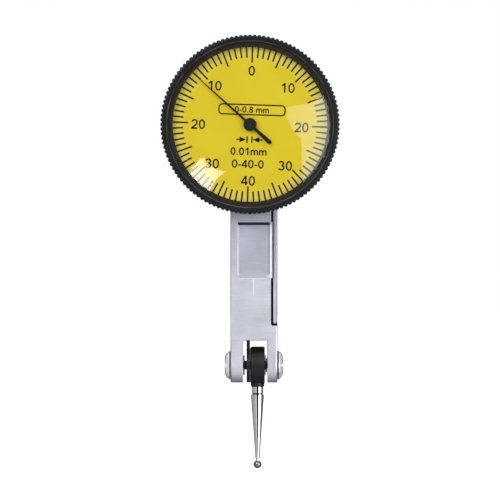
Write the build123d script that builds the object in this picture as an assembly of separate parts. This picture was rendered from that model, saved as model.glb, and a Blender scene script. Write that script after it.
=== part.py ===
from build123d import *
import math
import os

# Lever-type dial test indicator, in millimetres. The dial faces -Y, +X is to its right and +Z is up.
# The origin lies on the axis of the dial, on the outer face of the dovetail rail at the back.

# Clearances
running_gap = 0.03      # radial, between a turning shaft and its bearing
seat_gap = 0.02         # between pieces that are seated on each other or pressed in
bezel_gap = 0.06        # radial, between the turning bezel and the rim of the case
overrun = 1.0           # a cutting tool runs this far past the face that it leaves

# Gear train: sector on the lever, pinion and crown wheel on a cross arbor, pinion on the centre arbor
sector_module = 0.2
sector_teeth = 498      # on a full circle
sector_half_teeth = 3   # teeth that are cut on each side of the middle
sector_end_land = 0.2   # beside the last tooth, in teeth
crown_pinion_teeth = 13
crown_module = 0.15
crown_teeth = 52
centre_pinion_teeth = 12
pressure_angle = math.radians(20)
backlash = 0.08         # taken off each tooth at the pitch line
addendum = 0.8          # in modules
dedendum = 1.25         # in modules
reading_per_turn = 0.8  # travel of the contact ball for one turn of the pointer
train_ratio = sector_teeth / crown_pinion_teeth * crown_teeth / centre_pinion_teeth

# Dial head, radii built outwards from the dial window
window_radius = 16.34
crystal_ledge = 1.16
bezel_lip = 1.05        # from the crystal to the root of the knurl
knurl_depth = 0.45
knurl_teeth = 120
knurl_land = 0.5        # plain band at each end of the knurl
rim_wall = 1.0
case_set_in = 0.55      # the case lies this far inside the root of the knurl
case_back_round = 1.2

# Dial head, depths built forwards from the dovetail rail
rail_height = 1.9
rail_width = 6.35
rail_length = 24.0
rail_angle = math.radians(60)
case_floor = 1.3
plate_thickness = 0.6
crown_back_gap = 0.25
crown_face = 0.7        # radial width of the crown teeth
spring_gap = 0.5        # from the crown wheel to the hairspring
spring_width = 0.6
plate_gap = 0.45        # from the hairspring to the front plate
front_plate_thickness = 0.8
dial_gap = 0.5          # from the front plate to the dial
dial_thickness = 0.4
pointer_gap = 0.55      # from the dial to the pointer
pointer_thickness = 0.2
crystal_gap = 0.95      # from the pointer to the crystal's edge
crystal_edge = 0.9
crystal_rise = 1.2
bezel_front_lip = 0.1   # the bezel stands this far in front of the crystal's edge
bezel_back_gap = 0.3
dial_ring_thickness = 0.35
dial_ring_width = 0.85
dial_ring_gap = 0.15
spring_ring_thickness = 0.4
spring_ring_depth = 0.42
spring_ring_stand = 0.25
spring_ring_setback = 1.2
spring_ring_split = 3.0

# Body bar and fork, widths built along X from the face of the lever plate at X = 0
bar_depth = 7.5
bar_edge_round = 0.35
lever_thickness = 0.74
lever_side_gap = 0.74
ear_left = 2.68
drum_side_gap = 0.06
drum_width = 3.08
clutch_space = 0.55
ear_right = 2.18
fork_depth = 5.3        # from the pivot up to the roof of the fork
channel_wall = 1.45     # front and back walls of the lever channel
channel_side = 1.4      # room beside the lever plate
channel_port = 2.2      # room between the lever plate and the right side of the port into the case
lever_slot_gap = 0.45
cover_thickness = 1.44
cover_end = 3.6         # from the roof of the fork up to the end of the cover
cover_end_round = 0.45
cover_edge_round = 0.2
cover_groove_width = 0.45  # shadow groove around the cover's front edge
cover_groove_depth = 1.2
cover_screw_radius = 0.4
cover_screw_head = 0.65
cover_screw_countersink = 0.3
cover_screw_inset = 0.9  # from the back of the bar
cover_screw_bite = 1.8
cover_screw_slot = 0.2
pocket_drop = 1.6       # from the edge of the bezel down to the pocket
pocket_length = 11.9
pocket_margin_left = 1.52
pocket_rib = 0.22       # between the pocket and the seat of the cover
pocket_depth = 0.9
pocket_round = 1.0
pocket_wall_slope = 0.25  # the floor lies this far inside the rim
pocket_top_slope = 0.65
rib_rise = 0.3          # the cover's seat steps out by this much beside the pocket

# Pivot, lever and stylus
pivot_head_radius = 3.05
pivot_head_edge = 0.25
pivot_head_height = 1.25
pivot_head_flat = 1.5
pivot_dome_bulge = 0.2
pivot_slot_width = 0.5
pivot_slot_depth = 0.4
pivot_thread_radius = 1.5
trunnion_radius = 0.6
trunnion_length = 0.8
shaft_radius = 0.95
shaft_end_gap = 0.04
thrust_washer_radius = 2.1
thrust_washer_thickness = 0.32
clutch_washer_radius = 2.2
clutch_washer_thickness = 0.18
clutch_nut_radius = 1.5
clutch_nut_thickness = 0.26
lever_eye_radius = 3.7
lever_arm_width_low = 2.8
lever_arm_width_high = 1.7
sector_head_height = 3.2
drum_radius = 4.0
drum_left_round = 0.5
drum_right_round = 0.15
drum_boss_radius = 1.45
drum_boss_drop = 4.6    # from the pivot down to the end of the boss
stem_thread_radius = 0.7
stem_thread_length = 1.4
stem_collar_radius = 1.32
stem_collar_length = 1.35
stem_groove_radius = 1.1
stem_groove_length = 0.3
stem_top_radius = 1.4
stem_tip_radius = 0.46
stem_neck_radius = 0.35
stem_neck_length = 0.85
stem_neck_sink = 0.45
wrench_flat = 1.24      # from the stem's axis
ball_radius = 0.88

# Movement
plate_edge_gap = 0.3
front_plate_inset = 2.9  # from the wall of the case
front_window_radius = 3.1
front_window_inset = 5.6  # from the edge of the front plate
pillar_count = 3        # pillars, with a window and a screw between each two
pillar_inset = 4.7      # from the wall of the case
pillar_radius = 1.2
pillar_spigot_radius = 0.7
small_screw_radius = 0.45
small_screw_head = 0.85
small_screw_head_height = 0.4
small_screw_bite = 0.8
movement_screw_inset = 2.6  # from the wall of the case
crown_arbor_radius = 0.6
crown_pivot_radius = 0.3
crown_wheel_thickness = 0.6
crown_pinion_side = 0.2  # the pinion is wider than the sector by this much on each side
bearing_thickness = 0.9
bearing_half_width = 1.6
bearing_head = 1.3      # material in front of the arbor's axis
bearing_left_gap = 1.05  # from the pinion to the left bearing
bearing_right_gap = 0.75  # from the crown wheel to the right bearing
foot_thickness = 1.0
foot_length = 3.2
foot_width = 2.2
jewel_radius = 0.9
centre_jewel_radius = 0.8
jewel_thickness = 0.6
centre_arbor_radius = 0.45
centre_front_radius = 0.35
centre_back_radius = 0.2
centre_pinion_length = 1.0
cock_gap = 0.5          # from the centre pinion to the cock
cock_thickness = 0.8
cock_half_height = 0.95
cock_reach = 0.5        # past the centre axis towards the crown wheel
cock_post_near = 4.4
cock_post_far = 6.2
collet_radius = 0.95
hairspring_thickness = 0.12
hairspring_turns = 4
hairspring_radius = 3.6
hairspring_end_gap = 0.1
stud_radius = 0.4
stud_angle = math.radians(-30)
pointer_hub_radius = 1.4
pointer_hub_height = 0.45
pointer_tube_radius = 0.7
pointer_tube_length = 0.35
pointer_length = 14.5
pointer_tip_half = 0.09
pointer_root_half = 0.26
pointer_tail_length = 6.0
pointer_tail_half = 0.45
pointer_angle = 48.0    # left of the vertical when nothing touches the ball
dial_hole_radius = 1.1

# Radii and stations that follow
crystal_radius = window_radius + crystal_ledge
knurl_root_radius = crystal_radius + bezel_lip
bezel_radius = knurl_root_radius + knurl_depth
rim_radius = crystal_radius
bore_radius = rim_radius + bezel_gap
cavity_radius = rim_radius - rim_wall
movement_screw_circle = cavity_radius - movement_screw_inset
pillar_circle = cavity_radius - pillar_inset
front_plate_radius = cavity_radius - front_plate_inset
front_window_circle = front_plate_radius - front_window_inset
case_radius = knurl_root_radius - case_set_in
crown_radius = crown_module * crown_teeth / 2
crown_tip_radius = crown_radius + crown_face / 2
centre_pinion_radius = crown_module * centre_pinion_teeth / 2
sector_radius = sector_module * sector_teeth / 2
crown_pinion_radius = sector_module * crown_pinion_teeth / 2

case_back_y = -rail_height
floor_y = case_back_y - case_floor
plate_y = floor_y - plate_thickness
axis_y = plate_y - crown_back_gap - crown_tip_radius
bar_back_y = axis_y + bar_depth / 2
bar_front_y = axis_y - bar_depth / 2
spring_back_y = axis_y - crown_tip_radius - spring_gap
spring_front_y = spring_back_y - spring_width
front_plate_back_y = spring_front_y - plate_gap
front_plate_front_y = front_plate_back_y - front_plate_thickness
dial_back_y = front_plate_front_y - dial_gap
dial_front_y = dial_back_y - dial_thickness
pointer_back_y = dial_front_y - pointer_gap
pointer_front_y = pointer_back_y - pointer_thickness
crystal_seat_y = pointer_front_y - crystal_gap
bezel_front_y = crystal_seat_y - crystal_edge - bezel_front_lip
bezel_back_y = bar_front_y - bezel_back_gap
dial_ring_back_y = dial_back_y + dial_ring_thickness
rim_front_y = dial_ring_back_y + dial_ring_gap
spring_ring_y = bar_front_y - spring_ring_setback

lever_left = -lever_thickness
fork_left = lever_left - lever_side_gap
body_left = fork_left - ear_left
drum_left = drum_side_gap
drum_right = drum_left + drum_width
drum_middle = (drum_left + drum_right) / 2
fork_right = drum_right + clutch_space
body_right = fork_right + ear_right
cover_seat_x = body_right - cover_thickness
channel_half = bar_depth / 2 - channel_wall
channel_left = lever_left - channel_side

pivot_z = -(sector_radius + crown_pinion_radius)
fork_roof_z = pivot_z + fork_depth
cover_end_z = fork_roof_z + cover_end
channel_end_z = cover_end_z + cover_thickness
pocket_top_z = -(bezel_radius + pocket_drop)
pocket_end_z = pocket_top_z - pocket_length
arm_length = reading_per_turn * train_ratio / (2 * math.pi)
ball_z = pivot_z - arm_length

pieces = {}


def slab(x0, x1, y0, y1, z0, z1):
    """Rectangular block between two opposite corners."""
    place = Pos((x0 + x1) / 2, (y0 + y1) / 2, (z0 + z1) / 2)
    return place * Box(abs(x1 - x0), abs(y1 - y0), abs(z1 - z0))


def rod_x(radius, x0, x1, y=axis_y, z=0):
    """Round bar along X between two stations."""
    return Pos((x0 + x1) / 2, y, z) * Rot(0, 90, 0) * Cylinder(radius, abs(x1 - x0))


def rod_y(radius, y0, y1, x=0, z=0):
    """Round bar along Y between two stations."""
    return Pos(x, (y0 + y1) / 2, z) * Rot(90, 0, 0) * Cylinder(radius, abs(y1 - y0))


def hole_x(radius, x0, x1, y=axis_y, z=0):
    """Drill along X that runs past two faces, from the lower one to the higher one."""
    return rod_x(radius, x0 - overrun, x1 + overrun, y, z)


def hole_y(radius, y0, y1, x=0, z=0):
    """Drill along Y that runs past two faces, from the front one to the back one."""
    return rod_y(radius, y0 - overrun, y1 + overrun, x, z)


def turned_x(*points):
    """Piece turned about the X axis from an outline of (station, radius) points."""
    return revolve(make_face(Polyline(*points, close=True)), Axis.X)


def turned_y(*points):
    """Piece turned about the Y axis from an outline of (radius, station) points."""
    return revolve(make_face(Polyline(*points, close=True)), Axis.Y)


def on_circle(radius, degrees):
    """Place on a circle around the dial axis, measured from +X towards +Z."""
    angle = math.radians(degrees)
    return radius * math.cos(angle), radius * math.sin(angle)


def tooth_half_angle(radius, teeth, module):
    """Half the angle an involute tooth fills at a radius, thinned by the backlash at the pitch circle."""
    pitch = teeth * module / 2
    base = pitch * math.cos(pressure_angle)

    def involute(at):
        angle = math.acos(min(1, base / at))
        return math.tan(angle) - angle

    half_at_pitch = (math.pi * module / 2 - backlash) / (2 * pitch)
    return half_at_pitch + involute(pitch) - involute(max(radius, base))


def tooth_points(teeth, module, middle):
    """Corners of one tooth around its middle direction, at the root, pitch and tip circles."""
    pitch = teeth * module / 2
    radii = (pitch - dedendum * module, pitch, pitch + addendum * module)
    corners = [(radius, -tooth_half_angle(radius, teeth, module)) for radius in radii]
    corners += [(radius, -half) for radius, half in reversed(corners)]
    return [(radius * math.cos(middle + turn), radius * math.sin(middle + turn))
            for radius, turn in corners]


def pinion_face(teeth, module):
    """Outline of a small gear with one tooth on its local X axis."""
    points = []
    for tooth in range(teeth):
        points += tooth_points(teeth, module, 2 * math.pi * tooth / teeth)
    return make_face(Polyline(*points, close=True))


def small_screw(x, z, seat_y):
    """Cheese-head screw along Y: its head stands in front of the seat and its shank goes back from it."""
    head_y = seat_y - small_screw_head_height
    head = rod_y(small_screw_head, head_y, seat_y, x, z)
    slot_half = small_screw_radius / 3
    slot = slab(x - small_screw_head, x + small_screw_head, head_y, head_y + small_screw_head_height / 2,
                z - slot_half, z + slot_half)
    end_y = seat_y + plate_thickness + small_screw_bite
    return head - slot + rod_y(small_screw_radius, seat_y, end_y, x, z)


# Body frame: round case with its rim, bar, fork and dovetail rail, cast and machined in one piece
case = turned_y((0, case_back_y), (case_radius, case_back_y), (case_radius, bar_front_y),
                (rim_radius, bar_front_y), (rim_radius, rim_front_y), (0, rim_front_y))
case = fillet(case.edges().filter_by(GeomType.CIRCLE).sort_by(Axis.Y)[-1], case_back_round)

bar_top_z = -cavity_radius / 2
bar_side = Pos(axis_y, (bar_top_z + pivot_z) / 2) * Rectangle(bar_depth, bar_top_z - pivot_z)
bar_side += Pos(axis_y, pivot_z) * Circle(bar_depth / 2)
bar = Pos(body_left, 0, 0) * extrude(Plane.YZ * bar_side, body_right - body_left)
bar_sides = bar.faces().filter_by(Axis.X).sort_by(Axis.X)
bar = fillet(bar_sides[0].edges() + bar_sides[-1].edges(), bar_edge_round)

cover_recess = slab(cover_seat_x, body_right + overrun, bar_front_y - overrun, bar_back_y + overrun,
                    cover_end_z - seat_gap, bar_top_z + overrun)
groove_back_y = bar_front_y + cover_groove_depth
end_groove = slab(cover_seat_x, body_right + overrun, bar_front_y - overrun, groove_back_y,
                  cover_end_z - cover_groove_width, bar_top_z)
groove_corner = end_groove.edges().filter_by(Axis.Y).group_by(Axis.Z)[0].sort_by(Axis.X)[0]
cover_recess += fillet(groove_corner, cover_end_round)
pocket_left = body_left + pocket_margin_left
pocket_right = cover_seat_x - pocket_rib
pocket_floor_y = bar_front_y + pocket_depth
rib = slab(pocket_right, cover_seat_x + rib_rise, bar_front_y, pocket_floor_y,
           pocket_end_z, pocket_top_z)
bar = bar - cover_recess + rib


def pocket_outline(y, side_inset, top_inset):
    """Outline of the pocket at a depth: square corners at the top and round ones at the bottom."""
    width = pocket_right - pocket_left - 2 * side_inset
    length = pocket_length - side_inset - top_inset
    outline = RectangleRounded(width, length, pocket_round)
    outline += Pos(0, length / 4) * Rectangle(width, length / 2)
    middle_z = pocket_top_z - top_inset - length / 2
    return Pos((pocket_left + pocket_right) / 2, y, middle_z) * (Plane.XZ * outline)


pocket_rim = pocket_outline(bar_front_y, 0, 0)
pocket_floor = pocket_outline(pocket_floor_y, pocket_wall_slope, pocket_top_slope)
pocket = loft([pocket_floor, pocket_rim], ruled=True)
pocket += extrude(pocket_rim, overrun)

rail_foot = rail_width / 2 - rail_height / math.tan(rail_angle)
rail_face = make_face(Polyline((-rail_width / 2, 0), (rail_width / 2, 0), (rail_foot, case_back_y),
                               (rail_foot, floor_y), (-rail_foot, floor_y), (-rail_foot, case_back_y),
                               close=True))
rail = Pos(0, 0, -rail_length / 2) * extrude(rail_face, rail_length)

fork_slot = slab(fork_left, fork_right, bar_front_y - overrun, bar_back_y + overrun,
                 pivot_z - bar_depth, fork_roof_z)
channel_front_y = axis_y - channel_half
channel_back_y = axis_y + channel_half
channel = slab(channel_left, body_right + overrun, channel_front_y, channel_back_y,
               channel_end_z, -case_radius)
port = slab(channel_left, channel_port, channel_front_y, channel_back_y, -case_radius - overrun, bar_top_z)
lever_slot = slab(lever_left - lever_slot_gap, lever_slot_gap, channel_front_y, channel_back_y,
                  fork_roof_z - overrun, channel_end_z + overrun)
cavity = rod_y(cavity_radius, floor_y, rim_front_y - overrun)
ring_groove_inner = rim_radius - spring_ring_depth - running_gap
ring_groove_half = spring_ring_thickness / 2 + seat_gap
ring_groove = turned_y((ring_groove_inner, spring_ring_y - ring_groove_half),
                       (rim_radius + overrun, spring_ring_y - ring_groove_half),
                       (rim_radius + overrun, spring_ring_y + ring_groove_half),
                       (ring_groove_inner, spring_ring_y + ring_groove_half))
pivot_bore = hole_x(pivot_thread_radius + seat_gap, body_left, body_right, axis_y, pivot_z)

back_screw_y = bar_back_y - cover_screw_inset
end_screw_z = (channel_end_z + cover_end_z) / 2
cover_screw_places = ((back_screw_y, pocket_top_z), (back_screw_y, pocket_end_z), (axis_y, end_screw_z))
cover_hole_radius = cover_screw_radius + seat_gap
cover_screw_end = cover_seat_x - cover_screw_bite
cover_hole_end = cover_screw_end - seat_gap
cover_holes = [rod_x(cover_hole_radius, cover_hole_end, body_right + overrun, y, z)
               for y, z in cover_screw_places]
screw_hole_radius = small_screw_radius + seat_gap
pillar_angles = [90 + 360 * place / pillar_count for place in range(pillar_count)]
window_angles = [angle + 180 / pillar_count for angle in pillar_angles]
movement_screw_places = [on_circle(movement_screw_circle, angle) for angle in window_angles]
movement_hole_end = floor_y + small_screw_bite + seat_gap
movement_holes = [rod_y(screw_hole_radius, plate_y, movement_hole_end, x, z)
                  for x, z in movement_screw_places]

body_frame = case + bar + rail
for cut in (cavity, pocket, fork_slot, channel, port, lever_slot, ring_groove, pivot_bore):
    body_frame -= cut
for hole in cover_holes + movement_holes:
    body_frame -= hole
pieces["body_frame"] = body_frame

# Side cover: plate on the right of the bar that closes the lever channel, with its countersunk screws
cover_inner_x = cover_seat_x + seat_gap
cover = slab(cover_inner_x, body_right, groove_back_y, bar_back_y, cover_end_z, bar_top_z)
cover = fillet(cover.edges().filter_by(Axis.Z).group_by(Axis.X)[-1].sort_by(Axis.Y)[-1], bar_edge_round)
strip = slab(cover_inner_x + cover_groove_width, body_right, bar_front_y, groove_back_y,
             cover_end_z, bar_top_z)
strip = fillet(strip.edges().filter_by(Axis.Y).group_by(Axis.Z)[0], cover_end_round)
cover += fillet(strip.faces().filter_by(Axis.Y).sort_by(Axis.Y)[0].edges(), cover_edge_round)
cover -= slab(cover_inner_x - overrun, cover_inner_x + rib_rise + cover_groove_width, bar_front_y - overrun,
              groove_back_y, pocket_end_z - cover_groove_width, pocket_top_z)
cover -= hole_y(case_radius + seat_gap, bar_front_y, bar_back_y)
cone_x = body_right - cover_screw_countersink
cover_screws = []
for y, z in cover_screw_places:
    sink = Pos(0, y, z) * turned_x((cone_x, 0), (cone_x, cover_hole_radius),
                                   (body_right, cover_screw_head + seat_gap), (body_right, 0))
    cover -= hole_x(cover_hole_radius, cover_inner_x, body_right, y, z) + sink
    screw = turned_x((cover_screw_end, 0), (cover_screw_end, cover_screw_radius),
                     (cone_x, cover_screw_radius), (body_right, cover_screw_head), (body_right, 0))
    slot = slab(body_right - cover_screw_countersink / 2, body_right + overrun, -cover_screw_slot / 2,
                cover_screw_slot / 2, -cover_screw_head, cover_screw_head)
    cover_screws.append(Pos(0, y, z) * (screw - slot))
pieces["side_cover"] = cover
pieces["side_cover_screws"] = Compound(children=cover_screws)


# Pivot screws: domed heads outside the ears, threads through them and a trunnion on the inside
def pivot_screw(ear_inner_x, ear_outer_x, side):
    """One pivot screw; side is -1 for the left ear and 1 for the right one."""
    seat_x = ear_outer_x + side * seat_gap
    edge_x = seat_x + side * pivot_head_edge
    flat_x = seat_x + side * pivot_head_height
    trunnion_x = ear_inner_x - side * trunnion_length
    crest_x = (edge_x + flat_x) / 2 + side * pivot_dome_bulge
    crest_radius = (pivot_head_radius + pivot_head_flat) / 2 + pivot_dome_bulge
    dome = ThreePointArc((edge_x, pivot_head_radius), (crest_x, crest_radius), (flat_x, pivot_head_flat))
    outline = Polyline((flat_x, pivot_head_flat), (flat_x, 0), (trunnion_x, 0),
                       (trunnion_x, trunnion_radius), (ear_inner_x, trunnion_radius),
                       (ear_inner_x, pivot_thread_radius), (seat_x, pivot_thread_radius),
                       (seat_x, pivot_head_radius), (edge_x, pivot_head_radius))
    screw = Pos(0, axis_y, pivot_z) * revolve(make_face(dome + outline), Axis.X)
    slot = slab(flat_x - side * pivot_slot_depth, flat_x + side * overrun, axis_y - pivot_head_radius,
                axis_y + pivot_head_radius, pivot_z - pivot_slot_width / 2, pivot_z + pivot_slot_width / 2)
    return screw - slot


pieces["pivot_screw_left"] = pivot_screw(fork_left, body_left, -1)
pieces["pivot_screw_right"] = pivot_screw(fork_right, body_right, 1)

# Movement plate on the floor of the case, its screws, and the pillars that carry the front plate
pillar_places = [on_circle(pillar_circle, angle) for angle in pillar_angles]
movement_plate = rod_y(cavity_radius - plate_edge_gap, plate_y, floor_y)
for x, z in movement_screw_places:
    movement_plate -= hole_y(screw_hole_radius, plate_y, floor_y, x, z)
for x, z in pillar_places:
    movement_plate -= hole_y(pillar_spigot_radius + seat_gap, plate_y, floor_y, x, z)
movement_screws = [small_screw(x, z, plate_y) for x, z in movement_screw_places]
pieces["movement_screws"] = Compound(children=movement_screws)

front_screw_seat_y = front_plate_front_y + small_screw_head_height
front_screw_end_y = front_screw_seat_y + plate_thickness + small_screw_bite
pillars = []
front_plate = rod_y(front_plate_radius, front_plate_front_y, front_plate_back_y)
for x, z in pillar_places:
    pillar = rod_y(pillar_radius, front_plate_back_y, plate_y, x, z)
    pillar += rod_y(pillar_spigot_radius, plate_y, floor_y, x, z)
    pillar -= rod_y(screw_hole_radius, front_plate_back_y, front_screw_end_y + seat_gap, x, z)
    pillars.append(pillar)
    front_plate -= hole_y(screw_hole_radius, front_plate_front_y, front_plate_back_y, x, z)
    front_plate -= rod_y(small_screw_head + seat_gap, front_plate_front_y, front_screw_seat_y, x, z)
pieces["movement_pillars"] = Compound(children=pillars)
plate_screws = [small_screw(x, z, front_screw_seat_y) for x, z in pillar_places]
pieces["front_plate_screws"] = Compound(children=plate_screws)
for angle in window_angles:
    x, z = on_circle(front_window_circle, angle)
    front_plate -= hole_y(front_window_radius, front_plate_front_y, front_plate_back_y, x, z)
front_plate -= hole_y(centre_jewel_radius + seat_gap, front_plate_front_y, front_plate_back_y)
pieces["front_plate"] = front_plate


def jewel_y(front_y, bore):
    """Ruby ring along Y with its front face at a station."""
    back_y = front_y + jewel_thickness
    return rod_y(centre_jewel_radius, front_y, back_y) - hole_y(bore, front_y, back_y)


front_jewel_y = front_plate_back_y - jewel_thickness
pieces["centre_jewel_front"] = jewel_y(front_jewel_y, centre_front_radius + running_gap)

# Crown wheel and its arbor: the arbor crosses the case along X and carries the pinion driven by the sector
crown_pinion_left = lever_left - crown_pinion_side
crown_pinion_right = crown_pinion_side
crown_root_x = centre_pinion_radius + dedendum * crown_module
crown_back_x = crown_root_x + crown_wheel_thickness
bearing_left_x = crown_pinion_left - bearing_left_gap
bearing_right_x = crown_back_x + bearing_right_gap
arbor_left_x = bearing_left_x - bearing_thickness
arbor_right_x = bearing_right_x + bearing_thickness
shoulder_left_x = bearing_left_x + running_gap
shoulder_right_x = bearing_right_x - running_gap
crown_arbor = Pos(0, axis_y, 0) * turned_x(
    (arbor_left_x, 0), (arbor_left_x, crown_pivot_radius),
    (shoulder_left_x, crown_pivot_radius), (shoulder_left_x, crown_arbor_radius),
    (shoulder_right_x, crown_arbor_radius), (shoulder_right_x, crown_pivot_radius),
    (arbor_right_x, crown_pivot_radius), (arbor_right_x, 0))
crown_pinion = extrude(Plane.YZ * Rot(0, 0, -90) * pinion_face(crown_pinion_teeth, sector_module),
                       crown_pinion_right - crown_pinion_left)
crown_arbor += Pos(crown_pinion_left, axis_y, 0) * crown_pinion
pieces["crown_arbor"] = crown_arbor

crown_pitch = math.pi * crown_module
crown_tooth_half = (crown_pitch / 2 - backlash) / 2
flank = math.tan(pressure_angle)
crown_tip_half = crown_tooth_half - addendum * crown_module * flank
crown_root_half = crown_tooth_half + dedendum * crown_module * flank
crown_tip_x = centre_pinion_radius - addendum * crown_module
crown_foot_x = crown_root_x + seat_gap
crown_tooth_face = make_face(Polyline((crown_foot_x, -crown_root_half), (crown_tip_x, -crown_tip_half),
                                      (crown_tip_x, crown_tip_half), (crown_foot_x, crown_root_half),
                                      close=True))
crown_tooth = Pos(0, crown_face / 2 - crown_radius, 0) * extrude(Plane.XZ * crown_tooth_face, crown_face)
crown_wheel = rod_x(crown_tip_radius, crown_root_x, crown_back_x, 0, 0)
crown_wheel += [Rot(360 * (tooth + 0.5) / crown_teeth, 0, 0) * crown_tooth for tooth in range(crown_teeth)]
crown_wheel -= hole_x(crown_arbor_radius + seat_gap, crown_root_x, crown_back_x, 0, 0)
pieces["crown_wheel"] = Pos(0, axis_y, 0) * crown_wheel


# Bearings of the crown arbor: upright blocks with a screwed foot on the movement plate and a ruby ring each
def crown_bearing(inner_x, side):
    """One bearing block; side is the direction from its inner face to its outer one."""
    outer_x = inner_x + side * bearing_thickness
    foot_x = inner_x + side * foot_width
    block = slab(inner_x, outer_x, axis_y - bearing_head, plate_y, -bearing_half_width, bearing_half_width)
    block += slab(inner_x, foot_x, plate_y - foot_thickness, plate_y, -bearing_half_width,
                  bearing_half_width + foot_length)
    return block - rod_x(jewel_radius + seat_gap, inner_x, outer_x)


def foot_screw(x, z):
    """Screw through a foot into the movement plate, and the hole that it needs."""
    seat_y = plate_y - foot_thickness
    head = rod_y(small_screw_head, seat_y - small_screw_head_height, seat_y, x, z)
    shank = rod_y(small_screw_radius, seat_y, floor_y - seat_gap, x, z)
    hole = hole_y(screw_hole_radius, seat_y, floor_y, x, z)
    return head + shank, hole


def jewel_x(inner_x, side):
    """Ruby ring along X, flush with the inner face of its bearing block."""
    outer_x = inner_x + side * bearing_thickness
    bore = hole_x(crown_pivot_radius + running_gap, min(inner_x, outer_x), max(inner_x, outer_x))
    return rod_x(jewel_radius, inner_x, outer_x) - bore


foot_z = bearing_half_width + foot_length / 2
bearings = {"crown_bearing_left": (bearing_left_x, -1), "crown_bearing_right": (bearing_right_x, 1)}
cock_screws = []
jewels = []
for name, (inner_x, side) in bearings.items():
    screw, hole = foot_screw(inner_x + side * foot_width / 2, foot_z)
    cock_screws.append(screw)
    movement_plate -= hole
    jewels.append(jewel_x(inner_x, side))
    pieces[name] = crown_bearing(inner_x, side) - hole
pieces["crown_jewels"] = Compound(children=jewels)

# Cock: arm from a post on the left that carries the back jewel of the centre arbor
centre_pinion_y = axis_y - crown_radius
centre_pinion_back_y = centre_pinion_y + centre_pinion_length / 2
centre_pinion_front_y = centre_pinion_y - centre_pinion_length / 2
cock_front_y = centre_pinion_back_y + cock_gap
cock = slab(-cock_post_far, cock_reach, cock_front_y, cock_front_y + cock_thickness,
            -cock_half_height, cock_half_height)
cock += slab(-cock_post_far, -cock_post_near, cock_front_y, plate_y,
             -bearing_half_width, bearing_half_width)
cock_foot_x = -cock_post_far - foot_length
cock += slab(cock_foot_x, -cock_post_near, plate_y - foot_thickness, plate_y,
             -bearing_half_width, bearing_half_width)
cock_jewel_hole = rod_y(centre_jewel_radius + seat_gap, cock_front_y, cock_front_y + jewel_thickness)
cock_arbor_hole = hole_y(centre_front_radius, cock_front_y, cock_front_y + cock_thickness)
screw, hole = foot_screw(-cock_post_far - foot_length / 2, 0)
cock_screws.append(screw)
movement_plate -= hole
pieces["movement_plate"] = movement_plate
pieces["centre_cock"] = cock - cock_jewel_hole - cock_arbor_hole - hole
pieces["cock_screws"] = Compound(children=cock_screws)
pieces["centre_jewel_rear"] = jewel_y(cock_front_y, centre_back_radius + running_gap)

# Centre arbor: runs from the cock to the pointer, with the pinion that the crown wheel drives
arbor_shoulder_y = cock_front_y - running_gap
front_shoulder_y = front_plate_back_y + running_gap
hub_front_y = pointer_front_y - pointer_hub_height
arbor_front_y = hub_front_y + pointer_hub_height / 3
arbor_back_y = cock_front_y + jewel_thickness
centre_arbor = turned_y((0, arbor_back_y), (centre_back_radius, arbor_back_y),
                        (centre_back_radius, arbor_shoulder_y), (centre_arbor_radius, arbor_shoulder_y),
                        (centre_arbor_radius, front_shoulder_y), (centre_front_radius, front_shoulder_y),
                        (centre_front_radius, arbor_front_y), (0, arbor_front_y))
centre_pinion = extrude(Plane.XZ * pinion_face(centre_pinion_teeth, crown_module), centre_pinion_length)
centre_arbor += Pos(0, centre_pinion_back_y, 0) * centre_pinion
pieces["centre_arbor"] = centre_arbor

# Hairspring: flat spiral ribbon from the collet on the centre arbor to a stud on the front plate
collet = rod_y(collet_radius, spring_front_y, spring_back_y)
pieces["hairspring_collet"] = collet - hole_y(centre_arbor_radius + seat_gap, spring_front_y, spring_back_y)
steps_per_turn = 14
inner_radius = collet_radius + hairspring_end_gap + hairspring_thickness / 2
steps = steps_per_turn * hairspring_turns


def spiral(offset):
    """Spiral whose radius grows evenly with its angle and that ends at the stud."""
    points = []
    for step in range(steps + 1):
        radius = inner_radius + (hairspring_radius - inner_radius) * step / steps + offset
        angle = stud_angle + 2 * math.pi * (step - steps) / steps_per_turn
        points.append((radius * math.cos(angle), radius * math.sin(angle)))
    return Spline(*points)


outer_edge = spiral(hairspring_thickness / 2)
inner_edge = spiral(-hairspring_thickness / 2)
ribbon_ends = [Line(outer_edge @ 0, inner_edge @ 0), Line(outer_edge @ 1, inner_edge @ 1)]
ribbon = make_face([outer_edge, inner_edge] + ribbon_ends)
pieces["hairspring"] = Pos(0, spring_back_y, 0) * extrude(Plane.XZ * ribbon, spring_width)
stud_circle = hairspring_radius + hairspring_thickness / 2 + seat_gap + stud_radius
stud_x, stud_z = on_circle(stud_circle, math.degrees(stud_angle))
pieces["hairspring_stud"] = rod_y(stud_radius, front_plate_back_y, spring_back_y, stud_x, stud_z)

# Bezel: turned ring with a knurled band, a ledge for the crystal and a bore that runs on the case's rim
knurl_points = []
for tooth in range(knurl_teeth):
    knurl_points.append(on_circle(bezel_radius, 360 * tooth / knurl_teeth))
    knurl_points.append(on_circle(knurl_root_radius, 360 * (tooth + 0.5) / knurl_teeth))
knurl_face = make_face(Polyline(*knurl_points, close=True))
knurl_length = bezel_back_y - bezel_front_y - 2 * knurl_land
knurl = Pos(0, bezel_back_y - knurl_land, 0) * extrude(Plane.XZ * knurl_face, knurl_length)
bezel = rod_y(knurl_root_radius, bezel_front_y, bezel_back_y)
bezel = chamfer(bezel.edges().filter_by(GeomType.CIRCLE), knurl_land / 2)
bezel += knurl
bezel -= rod_y(bore_radius, dial_front_y, bezel_back_y + overrun)
bezel -= hole_y(window_radius, bezel_front_y, bezel_back_y)
bezel -= rod_y(crystal_radius + seat_gap, bezel_front_y - overrun, crystal_seat_y)
ring_outer_radius = rim_radius + spring_ring_stand
bezel_groove_half = spring_ring_thickness / 2 + running_gap
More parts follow.
